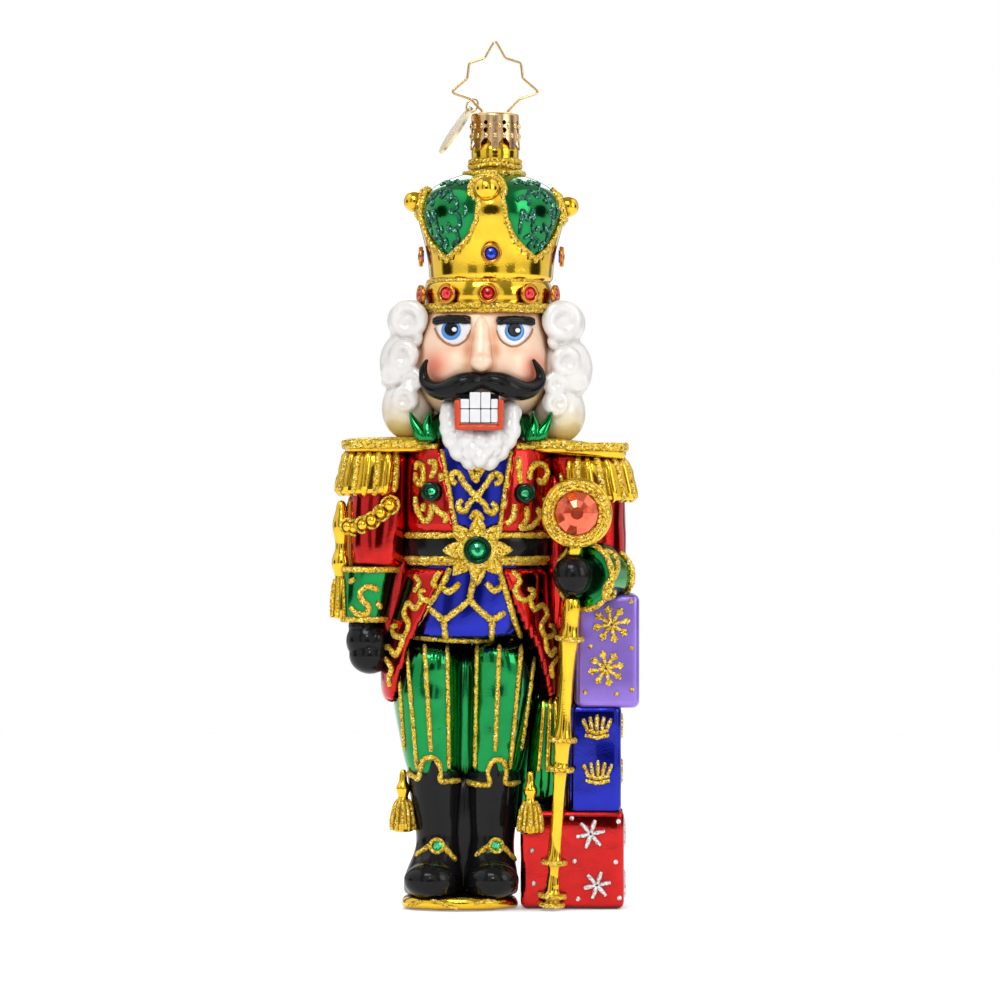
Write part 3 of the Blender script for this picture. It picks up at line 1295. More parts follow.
class NUTCRACKER_OT_torso(bpy.types.Operator):
    """Torso: blue vest, red coat, green collar, black belt with its star buckle, glitter braid"""
    bl_idname = "nutcracker.torso"
    bl_label = "Torso and coat"

    def execute(self, context):
        torso = lofted("vest_glass", [
            (59.6, -3.6, 0, 13.6, 11.6), (62.0, -3.4, 0, 14.1, 12.0), (68.0, -2.2, 0, 15.1, 12.3),
            (77.0, -1.2, 0, 15.0, 11.9), (86.0, -1.2, 0, 15.8, 12.5), (95.0, -1.0, 0, 16.2, 12.7),
            (100.5, -0.8, 0, 15.9, 11.9), (103.0, -0.6, 0, 15.4, 10.8), (104.2, -0.5, 0, 13.0, 9.0)], 48, 2)
        skin = skin_of(torso)
        left = parted(torso, "coat_front_left_glass", lambda c: c.z > 84.0 and c.y < 0.4 and c.x < lapel(c.z,
                                                                                                         -1))
        right = parted(torso, "coat_front_right_glass",
                       lambda c: c.z > 84.0 and c.y < 0.4 and c.x > lapel(c.z, 1))
        back = parted(torso, "coat_back_glass", lambda c: c.z > 84.0 and c.y > 0.4)
        walled(torso)
        for piece, node in ((left, "coat_front_left"), (right, "coat_front_right"), (back, "coat_back")):
            walled(piece, 1.7 * MM, 0.3)
            clad(piece, "ruby", nodes=[node])
        clad(torso, "cobalt", nodes=["vest"])

        collar = lofted("collar_glass", [
            (102.6, -0.6, 0, 13.2, 9.6), (105.0, -0.4, 0, 12.4, 9.8), (108.0, -0.2, 0, 11.6, 9.8),
            (111.6, 0, 0, 11.0, 9.8)], 40, 2)
        clad(collar, "emerald", nodes=["collar"])
        leaves = []
        for side, points in ((-1, [(-15.4, 104.4), (-15.9, 107.2), (-13.6, 110.9), (-11.4, 109.4),
                                   (-9.2, 105.6),
                                   (-10.4, 104.2)]),
                             (1, [(14.6, 104.4), (15.4, 106.8), (12.6, 110.9), (10.4, 109.4), (8.6, 105.6),
                                  (9.8, 104.2)])):
            for shift in (0.0, 1.9):
                mid = sum(p[0] for p in points) / len(points)
                run = [(p[0] * 0.5 + mid * 0.5 + side * shift, p[1]) for p in points]
                low = min(z for _, z in run)
                lean = -side if shift == 0 else side * 1.6
                leaf = lofted("collar_leaf", [
                    (low - 0.4, mid + side * shift * 0.6 - side, -9.0, 2.2, 2.0),
                    (low + 2.2, mid + side * shift * 0.8 - side * 0.4, -9.2, 1.9, 1.7),
                    (low + 4.6, mid + side * shift + lean * 0.5, -8.6, 1.0, 1.0),
                    (low + 6.6, mid + side * shift + lean, -8.0, 0.25, 0.3)], 20, 2)
                leaves.append(leaf)
        clad(joined("collar_leaves_glass", leaves), "emerald")

        belt = lofted("belt_leather", [
            (77.0, -1.2, 0, 15.4, 12.3), (77.4, -1.2, 0, 16.2, 13.1), (80.6, -1.2, 0, 16.6, 13.4),
            (83.6, -1.2, 0, 16.5, 13.4), (84.3, -1.2, 0, 15.8, 12.7)], 48, 2)
        belt_skin = skin_of(belt)
        clad(belt, "black", nodes=["belt"])
        lines = [wrapped(belt_skin, (-1.2, 0), z) for z in (77.3, 78.0, 83.3, 84.0)]

        coat_skin = skin_of(left, right, back, torso)
        for side in (-1, 1):
            edge = [(lapel(z, side) + (0.1 if side < 0 else -0.1), z) for z in range(84, 104, 2)]
            lines.append(laid(coat_skin, eased_pairs(edge)))
        for x0, x1 in ((-16.6, -10.0), (7.4, 15.4)):
            lines.append(laid(coat_skin, [(x0 + (x1 - x0) * k / 12, 103.0) for k in range(13)]))
        for marks, skin_used in ((vest_marks(), skin), (lapel_marks(), coat_skin)):
            for mark in marks:
                lines.append(laid(skin_used, eased_pairs(mark)))
        hem = [(-16.9, 60.8), (-12.0, 60.4), (-6.0, 60.1), (0.0, 59.9), (5.0, 59.8), (8.6, 59.7)]
        lines.append(laid(skin, eased_pairs(hem)))
        lines.append(laid(skin, eased_pairs([(x, z + 0.3) for x, z in hem]), behind=True))
        for mark in back_marks():
            lines.append(laid(coat_skin, eased_pairs(mark), behind=True))
        lines.append(laid(coat_skin, [(-1.2, 86 + 0.8 * k) for k in range(21)], behind=True))
        clad(piping("torso_glitter_braid", lines, 1.5, seed=12), "gold_glitter")

        star = middle("buckle_star")
        depth = low_of("buckle_star").y + 1.5
        clear_selection()
        bpy.ops.mesh.primitive_circle_add(vertices=16, radius=1, fill_type="NGON")
        burst = named("buckle_star_gold")
        for k, vertex in enumerate(burst.data.vertices):
            reach = 7.6 if k % 2 == 0 else 4.9
            angle = 2 * math.pi * k / 16
            vertex.co = Vector((star.x + reach * math.cos(angle), depth,
                                star.z + reach * math.sin(angle))) * MM
        edit(burst)
        bpy.ops.mesh.extrude_region_move(TRANSFORM_OT_translate={"value": (0, -0.5 * MM, 0)})
        bpy.ops.transform.resize(value=(0.9, 1, 0.9), center_override=(star.x * MM, 0, star.z * MM))
        bpy.ops.mesh.inset(thickness=1.6 * MM, depth=0)
        bpy.ops.transform.translate(value=(0, -0.9 * MM, 0))
        bpy.ops.mesh.select_all(action="SELECT")
        bpy.ops.mesh.normals_make_consistent(inside=False)
        bpy.ops.object.mode_set(mode="OBJECT")
        tidy(burst)
        burst_skin = skin_of(burst)
        clad(burst, "gold_glitter", nodes=["buckle_star"], angle=30)
        marks = []
        for k in range(8):
            angle = math.radians(45 * k)
            left_side, right_side = angle - 0.30, angle + 0.30
            run = [(star.x + 4.6 * math.cos(left_side), star.z + 4.6 * math.sin(left_side)),
                   (star.x + 7.2 * math.cos(angle), star.z + 7.2 * math.sin(angle)),
                   (star.x + 4.6 * math.cos(right_side), star.z + 4.6 * math.sin(right_side))]
            marks.append([p for p in laid(burst_skin, straight(run))])
        clad(piping("buckle_star_glitter", marks, 1.4, seed=13), "gold_glitter")
        rims = []
        for node, thick in (("buckle_emerald", 0.55), ("lapel_emeralds", 0.75)):
            for place, reach in stones_of(node):
                rims.append(hoop("rim", (place - FRONT * 0.25 * MM) / MM, reach / MM + 0.15, thick, FRONT))
        clad(joined("stone_rims", rims), "dark_green")
        reclad("buckle_emerald", "green_crystal")
        reclad("lapel_emeralds", "green_crystal")
        return {"FINISHED"}


def straight(points, step=0.4):
    """Straight runs between (x, z) points, a step apart."""
    out = []
    for (x0, z0), (x1, z1) in zip(points, points[1:]):
        count = max(1, int(math.hypot(x1 - x0, z1 - z0) / step))
        out += [(x0 + (x1 - x0) * k / count, z0 + (z1 - z0) * k / count) for k in range(count)]
    out.append(points[-1])
    return out


def vest_marks():
    """Braid on the vest: crossed scrolls above the belt, and a lattice below it."""
    return [
        [(-5.8, 94.6), (-6.9, 95.6), (-6.6, 97.0), (-5.2, 97.0), (-4.4, 95.4), (-3.2, 93.8), (-1.4, 91.8),
         (0.4, 90.2),
         (1.2, 88.6), (2.4, 88.3), (2.9, 89.6), (1.9, 90.6)],
        [(2.6, 94.6), (3.8, 95.2), (3.7, 96.6), (2.4, 96.9), (1.3, 95.4), (0.0, 93.6), (-1.4, 91.8),
         (-3.0, 90.4),
         (-3.6, 88.9), (-4.8, 88.8), (-5.4, 90.2), (-4.4, 91.2)],
        [(-2.9, 98.9), (-2.4, 97.0), (-1.5, 95.4), (-1.0, 96.6), (0.2, 98.2)],
        [(-4.2, 99.9), (-2.2, 99.2), (-0.9, 98.0), (0.6, 99.2), (2.4, 99.6)],
        [(-2.6, 86.8), (-1.4, 88.4), (0.0, 86.6)],
        [(-1.8, 76.4), (-2.1, 73.0), (-2.9, 69.0)],
        [(-2.9, 69.0), (-5.4, 66.8), (-8.6, 64.4)], [(-2.9, 69.0), (-0.6, 66.6), (2.1, 64.4)],
        [(-8.6, 64.4), (-8.2, 60.4)], [(2.1, 64.4), (2.0, 60.2)],
        [(-8.6, 64.4), (-11.8, 67.0)], [(2.1, 64.4), (4.9, 66.2)],
        [(-7.2, 76.0), (-8.6, 73.0), (-11.4, 68.6), (-14.0, 64.4), (-16.4, 61.0)],
        [(3.6, 76.0), (4.6, 72.6), (5.8, 68.6), (7.2, 64.0), (8.6, 60.2)],
        [(-5.0, 72.8), (-7.4, 70.8), (-9.4, 72.2)], [(0.8, 72.8), (2.6, 71.0), (4.4, 72.4)],
    ]


def lapel_marks():
    """Braid on both coat fronts: bars, loops and hooks round the stones."""
    return [
        [(-14.9, 97.9), (-14.4, 99.2), (-13.3, 98.6), (-13.1, 96.4), (-13.4, 94.6), (-14.6, 95.4),
         (-14.9, 97.2)],
        [(-11.9, 99.6), (-10.6, 99.4), (-10.7, 97.6), (-11.4, 95.9)],
        [(-14.9, 91.8), (-14.6, 89.4), (-12.9, 86.4), (-11.6, 87.4), (-11.1, 89.9), (-9.6, 88.4),
         (-8.0, 87.4),
         (-8.4, 86.0)],
        [(-13.0, 90.4), (-13.2, 88.6)],
        [(-9.4, 97.0), (-9.0, 95.4)],
        [(8.0, 100.6), (8.0, 97.6), (8.4, 94.8)],
        [(10.2, 95.5), (10.6, 97.8), (12.1, 99.2), (13.8, 98.6), (14.2, 96.6), (13.1, 94.9), (12.1, 95.8)],
        [(7.1, 90.2), (6.8, 87.4), (5.2, 85.6)],
        [(9.7, 89.8), (9.7, 87.0), (8.5, 84.9), (11.0, 85.4), (12.6, 87.6), (12.0, 89.4)],
        [(13.6, 91.6), (14.0, 89.6)],
    ]


def back_marks():
    """Braid on the coat's back, the same on both sides."""
    out = []
    for side in (-1, 1):
        out.append([(-1.2 + side * dx, z) for dx, z in (
            (3.0, 99.4), (5.4, 100.6), (7.4, 98.8), (6.4, 96.6), (4.4, 97.0), (4.8, 98.4))])
        out.append([(-1.2 + side * dx, z) for dx, z in (
            (2.8, 94.6), (5.4, 93.2), (8.2, 94.8), (10.4, 92.6), (9.4, 90.6), (7.6, 91.2))])
        out.append([(-1.2 + side * dx, z) for dx, z in ((2.8, 90.0), (5.0, 88.2), (7.6, 88.8), (9.6, 87.0))])
    return out


def tail_marks(side):
    """Braid on one coat tail, from the belt down to its tip."""
    if side < 0:
        return [
            [(-9.6, 75.2), (-10.9, 72.7), (-9.7, 70.9), (-11.0, 68.8), (-13.4, 69.2), (-13.8, 70.6),
             (-12.6, 71.2)],
            [(-15.0, 74.4), (-14.0, 72.6), (-15.2, 70.8)],
            [(-13.4, 69.2), (-14.9, 67.0), (-16.5, 68.2), (-17.4, 65.9), (-16.4, 63.3), (-17.6, 60.8),
             (-19.6, 61.0),
             (-20.1, 62.7), (-18.9, 63.2)],
            [(-17.4, 60.6), (-18.4, 58.1), (-19.4, 56.6), (-20.4, 57.8), (-21.4, 58.4), (-21.9, 56.3),
             (-20.3, 53.8),
             (-20.8, 51.6), (-20.6, 49.6)],
        ]
    return [
        [(6.6, 75.4), (8.2, 73.2), (7.2, 71.2), (8.6, 69.0), (10.8, 69.4), (11.2, 70.9), (10.0, 71.4)],
        [(10.4, 69.2), (11.4, 66.8), (13.2, 67.8), (14.2, 65.6), (13.0, 63.2), (13.8, 60.8), (15.6, 61.0),
         (16.0, 62.6), (14.9, 63.2)],
        [(13.8, 60.8), (14.2, 58.0), (15.2, 56.6), (16.0, 57.8), (16.4, 56.0), (15.2, 53.8), (15.5, 51.4)],
    ]


class NUTCRACKER_OT_skirts(bpy.types.Operator):
    """Coat tails: two long red points in front and a split back, edged with glitter"""
    bl_idname = "nutcracker.skirts"
    bl_label = "Coat tails"

    def execute(self, context):
        skirt = lofted("coat_skirt_left_glass", [
            (44.4, -3.0, 0.5, 19.2, 13.4), (48.0, -3.1, 0.5, 19.6, 13.6), (53.0, -3.2, 0.5, 20.0, 13.9),
            (60.0, -3.0, 0.3, 19.2, 13.9), (68.0, -2.2, 0, 17.6, 13.6), (74.0, -1.5, 0, 16.6, 13.2),
            (77.6, -1.2, 0, 16.1, 12.9)], 56, 2)

        def left_inner(z):
            return between(z, [(45.8, -20.6), (52.0, -19.0), (59.0, -16.9), (68.0, -12.4), (76.5, -8.2)])

        def right_inner(z):
            return between(z, [(47.0, 15.6), (52.0, 14.4), (58.0, 12.6), (66.0, 8.2), (76.5, 4.2)])

        def behind_floor(x):
            return 46.6 + 5.5 * max(0.0, 1 - abs(x + 2.6) / 4.0)

        def is_left(c):
            if c.x > -2.6:
                return False
            if c.y > 1.0:
                return c.z > behind_floor(c.x)
            return c.z > 45.6 and c.x < left_inner(c.z)

        def is_right(c):
            if c.x <= -2.6:
                return False
            if c.y > 1.0:
                return c.z > behind_floor(c.x)
            return c.z > 46.8 and c.x > right_inner(c.z)

        right = parted(skirt, "coat_skirt_right_glass", is_right)
        left = parted(skirt, "coat_skirt_left_half", is_left)
        pick(skirt)
        bpy.ops.object.delete()
        for piece, node in ((left, "coat_skirt_left"), (right, "coat_skirt_right")):
            lumpy(piece, 0.5, 9, 4)
            walled(piece, 1.5 * MM)
            smooth(piece, 1)
            clad(piece, "ruby", nodes=[node])
        left.name = "coat_skirt_left_glass"
        cover = skin_of(left, right)
        lines = []
        for mark in tail_marks(-1) + tail_marks(1):
            lines.append(laid(cover, eased_pairs(mark)))
        for side in (-1, 1):
            run = []
            for k in range(46):
                x = -2.6 + side * (0.6 + 0.36 * k)
                run.append((x, behind_floor(x) + 0.8))
            lines.append(laid(cover, run, behind=True))
            lines.append(laid(cover, [(-2.6 + side * 0.9, 52.5 + 0.8 * k) for k in range(29)], behind=True))
            for base in (56.0, 64.0, 71.0):
                curl = [(3.4, 0.0), (6.4, 1.4), (9.4, 0.2), (9.8, -2.0), (7.8, -2.4), (7.4, -1.0)]
                lines.append(laid(cover, eased_pairs([(-2.6 + side * a, base + b) for a, b in curl]),
                                  behind=True))
        clad(piping("coat_skirt_glitter", [r for r in lines if len(r) > 3], 1.35, seed=15), "gold_glitter")
        lining = lofted("coat_lining_glass", [
            (22.6, 13.6, 1.0, 4.2, 5.4), (28.0, 14.0, 1.0, 4.8, 5.9), (34.0, 14.2, 0.9, 4.7, 6.0),
            (42.0, 14.6, 0.9, 4.4, 5.8), (48.0, 14.8, 1.0, 3.6, 5.2)], 28, 2)
        lining_skin = skin_of(lining)
        clad(lining, "emerald", nodes=["coat_lining"])
        folds = []
        for x0, x1 in ((12.4, 13.6), (14.4, 15.0), (16.4, 16.2)):
            folds.append(laid(lining_skin, eased_pairs([(x0, 30.6), ((x0 + x1) / 2, 38.0), (x1, 47.0)])))
        clad(piping("coat_lining_folds", folds, 1.1, seed=16, lump=0.06), "gold")
        return {"FINISHED"}


# ---- legs and boots -------------------------------------------------------------------------------------
LEGS = {
    -1: [(29.0, -10.6, 0, 5.6, 7.0), (31.6, -10.8, 0, 6.5, 7.8), (36.0, -11.2, 0, 7.1, 8.7),
         (42.0, -11.5, 0, 7.9, 9.6), (47.0, -12.0, 0, 8.3, 10.4), (53.0, -11.6, 0, 7.8, 10.8),
         (59.8, -10.8, 0, 6.9, 10.8)],
    1: [(29.0, 2.4, 0, 5.6, 7.0), (31.6, 2.5, 0, 6.5, 7.8), (36.0, 2.9, 0, 7.0, 8.7),
        (42.0, 3.4, 0, 7.6, 9.6), (50.0, 4.4, 0, 8.3, 10.6), (55.0, 4.0, 0, 8.0, 10.8),
        (59.8, 3.2, 0, 7.1, 10.8)],
}
BOOTS = {
    -1: [(2.9, -11.1, -3.0, 6.0, 9.4), (4.0, -11.2, -3.1, 6.6, 10.0), (6.5, -11.1, -3.0, 6.6, 9.9),
         (9.0, -10.8, -2.0, 6.1, 8.6), (12.0, -10.1, -0.6, 5.3, 6.7), (15.0, -9.8, 0, 4.9, 5.9),
         (20.0, -10.0, 0, 5.4, 6.3), (26.0, -10.5, 0, 5.9, 6.9), (30.6, -10.8, 0, 6.3, 7.5),
         (31.4, -10.8, 0, 5.4, 6.6)],
    1: [(2.9, 2.0, -3.0, 5.4, 9.4), (4.0, 2.0, -3.1, 6.0, 10.0), (6.5, 2.0, -3.0, 6.0, 9.9),
        (9.0, 1.9, -2.0, 5.7, 8.6), (12.0, 1.8, -0.6, 5.3, 6.7), (15.0, 1.9, 0, 5.1, 5.9),
        (20.0, 2.0, 0, 5.6, 6.3), (26.0, 2.2, 0, 6.0, 6.9), (30.6, 2.5, 0, 6.4, 7.5),
        (31.4, 2.5, 0, 5.4, 6.6)],
}


class NUTCRACKER_OT_legs(bpy.types.Operator):
    """Legs: striped green trousers, tall black boots with cut tops, tassels and the gold base"""
    bl_idname = "nutcracker.legs"
    bl_label = "Legs and boots"

    def execute(self, context):
        lines, thin, leaves = [], [], []
        tops = {-1: [(-17.4, 30.6), (-15.6, 29.6), (-14.2, 29.2), (-13.8, 31.5), (-13.0, 33.4), (-11.7, 33.9),
                     (-10.4, 33.5), (-9.4, 31.5), (-9.4, 28.7), (-7.4, 28.5), (-5.3, 28.6)],
                1: [(-4.0, 28.7), (-2.6, 28.0), (1.4, 27.9), (1.2, 30.5), (1.9, 32.7), (3.2, 33.5),
                    (4.6, 33.0),
                    (5.2, 30.5), (5.1, 28.2), (6.8, 27.9), (8.7, 28.3)]}
        for side, label in ((-1, "left"), (1, "right")):
            leg = lofted("trouser_" + label + "_glass", LEGS[side], 40, 2)
            for x, z in ((-11.5 if side < 0 else 3.6, 46.0), (-10.0 if side < 0 else 2.4, 37.0)):
                push(leg, (x, -9.4, z), (0, -0.5, 0), 5.0)
            leg_skin = skin_of(leg)
            clad(leg, "emerald", nodes=["trouser_" + label])
            boot = lofted("boot_body", BOOTS[side], 40, 2)
            cx = -11.2 if side < 0 else 2.0
            toe = ball("boot_toe", (cx + side * 0.4, -8.4, 6.6), (6.0 if side < 0 else 5.7, 5.4, 4.2))
            tab = lofted("boot_tab", [(27.0, cx + 0.4, -5.0, 1.6, 2.2), (31.0, cx + 0.4, -5.2, 2.0, 3.0),
                                      (34.2, cx + 0.4, -5.4, 1.7, 3.0), (35.2, cx + 0.4, -5.4, 0.8,
                                                                         2.0)], 20, 2)
            boot = fused("boot_" + label + "_leather", [boot, toe, tab], 0.36, 3)
            boot_skin = skin_of(boot, leg)
            clad(boot, "black", nodes=["boot_" + label])
            lines.append(laid(boot_skin, eased_pairs(tops[side])))
            lines.append(laid(boot_skin, eased_pairs([(x, 30.4) for x, _ in tops[side]]), behind=True))
            mid = cx + (1.0 if side < 0 else 1.0)
            lines.append(laid(boot_skin, eased_pairs([(mid - 4.6, 12.0), (mid - 3.2, 13.0),
                                                      (mid - 1.2, 14.6)])))
            lines.append(laid(boot_skin, eased_pairs([(mid + 1.4, 14.2), (mid + 2.9, 12.4),
                                                      (mid + 4.2, 10.8)])))
            stripes = ([(-19.0, -17.4), (-16.9, -14.6), (-12.9, -11.5), (-7.9, -7.5)] if side < 0
                       else [(-1.2, -1.7), (3.7, 2.8), (8.6, 6.1), (11.9, 8.6)])
            for top, foot in stripes:
                run = [(foot + (top - foot) * k / 40, 35.4 + (58.8 - 35.4) * k / 40) for k in range(41)]
                if top in (-16.9, 8.6, -7.9, -1.2):
                    run = [(foot + (top - foot) * k / 40, 31.4 + (58.8 - 31.4) * k / 40) for k in range(41)]
                thin.append(laid(leg_skin, run))
                thin.append(laid(leg_skin, [(x, max(z, 31.4)) for x, z in run], behind=True))
        web = lofted("trouser_web_glass", [(28.0, -4.0, 1.0, 3.6, 5.2), (40.0, -3.9, 1.0, 3.2, 6.4),
                                           (59.4, -3.8, 1.0, 3.4, 8.0)], 24, 2)
        leaves.append(web)
        leaves.append(lofted("side_web_glass", [(15.0, 11.0, 1.8, 5.2, 2.8), (30.0, 11.4, 1.8, 5.2, 3.6),
                                                (50.0, 12.6, 1.8, 3.4, 4.2)], 24, 2))
        clad(joined("trouser_points_glass", leaves), "emerald")
        gap = lofted("boot_web_leather", [(2.8, -4.4, 0.6, 3.4, 4.6), (12.0, -4.2, 0.8, 4.0, 4.4),
                                          (31.6, -4.0, 0.8, 3.8, 5.6)], 24, 2)
        clad(gap, "black")
        clad(piping("boot_glitter_edges", lines, 1.3, seed=18), "gold_glitter")
        clad(piping("trouser_glitter_stripes", [r for r in thin if len(r) > 3], 1.05, seed=19),
             "gold_glitter")

        tassels, threads = [], []
        for x, y, top, low in ((-17.8, -1.6, 31.0, 16.8), (10.6, -9.2, 31.0, 16.8)):
            profile = [(1.9, low), (2.7, low + 0.8), (2.6, low + 3.0), (2.1, low + 6.0), (1.2, low + 7.6),
                       (1.0, low + 8.2), (1.7, low + 9.4), (1.5, low + 10.6), (0.8, low + 11.4), (0.9,
                                                                                                  low + 13.4),
                       (0.4, top)]
            tassels.append(turned("boot_tassel", x, y, profile, 24, 2))
            for k in range(12):
                angle = math.radians(30 * k)
                c, s = math.cos(angle), math.sin(angle)
                threads.append([Vector((x + r * c, y + r * s, z)) * MM for r, z in (
                    (1.3, low + 7.4), (1.8, low + 6.4), (2.2, low + 5.4), (2.45, low + 4.2), (2.65,
                                                                                              low + 2.8),
                    (2.75, low + 1.4), (2.7, low + 0.6))])
        clad(joined("boot_tassels_gold", tassels), "gold", nodes=["boot_tassels"])
        clad(piping("boot_tassel_threads", threads, 0.75, seed=20), "gold_glitter")
        base = lofted("base_gold", [
            (0.02, -5.2, -2.4, 12.2, 9.8), (0.5, -5.2, -2.4, 13.0, 10.4), (2.0, -5.2, -2.5, 13.0, 10.6),
            (3.0, -5.2, -2.5, 12.2, 10.0), (3.4, -5.2, -2.4, 9.8, 8.6)], 48, 2)
        lumpy(base, 0.5, 5, 8)
        for vertex in base.data.vertices:
            vertex.co.z = max(vertex.co.z, 0.0)
        base_skin = skin_of(base)
        clad(base, "gold", nodes=["base_plate"])
        rim = wrapped(base_skin, (-5.2, -2.4), lambda a: 1.6 + 0.8 * math.sin(math.radians(a * 5)), 200, 340)
        clad(piping("base_glitter", [rim[4:22], rim[30:60], rim[76:100]], 0.8, seed=22), "gold_glitter")
        rims = [hoop("rim", (place - FRONT * 0.2 * MM) / MM, reach / MM + 0.1, 0.45, FRONT)
                for place, reach in stones_of("boot_emeralds")]
        clad(joined("boot_stone_rims", rims), "gold_glitter")
        reclad("boot_emeralds", "green_crystal")
        return {"FINISHED"}


# ---- shoulders and arms ---------------------------------------------------------------------------------
ARMS = {
    -1: [(75.4, -23.4, 0, 6.0, 6.4), (77.0, -23.3, 0, 6.7, 7.0), (86.0, -22.8, 0, 7.2, 7.3),
         (94.0, -22.6, 0, 7.0, 7.1), (100.0, -22.2, 0, 7.0, 6.9), (103.2, -21.8, 0, 6.2, 6.2)],
    1: [(70.0, 25.8, 0.6, 5.8, 6.2), (72.0, 25.6, 0.6, 6.5, 6.9), (80.0, 24.8, 0.6, 7.3, 7.3),
        (92.0, 23.8, 0.4, 8.2, 7.1), (98.5, 22.6, 0, 8.8, 6.9), (102.6, 20.8, 0, 8.6, 6.2)],
}
FRINGES = {
    -1: [(92.2, -25.2, 0, 7.3, 8.8), (92.8, -25.2, 0, 7.8, 9.2), (98.0, -24.2, 0, 7.3, 8.8),
         (103.4, -24.0, 0, 7.2, 8.7)],
    1: [(90.8, 25.8, 0.2, 8.4, 8.8), (91.4, 25.8, 0.2, 8.8, 9.2), (96.0, 24.8, 0, 8.4, 8.8),
        (101.8, 24.0, 0, 8.4, 8.7)],
}


def rounded_box(name, low, high, corner, cuts=0):
    """A soft-edged box between two corners, in millimetres."""
    clear_selection()
    bpy.ops.mesh.primitive_cube_add(size=1)
    piece = named(name)
    piece.scale = (Vector(high) - Vector(low)) * MM
    piece.location = (Vector(high) + Vector(low)) / 2 * MM
    settle(piece)
    edit(piece)
    bpy.ops.mesh.bevel(offset=corner * MM, segments=5, profile=0.5)
    if cuts:
        bpy.ops.mesh.select_all(action="SELECT")
        bpy.ops.mesh.subdivide(number_cuts=cuts)
    bpy.ops.object.mode_set(mode="OBJECT")
    return tidy(piece)


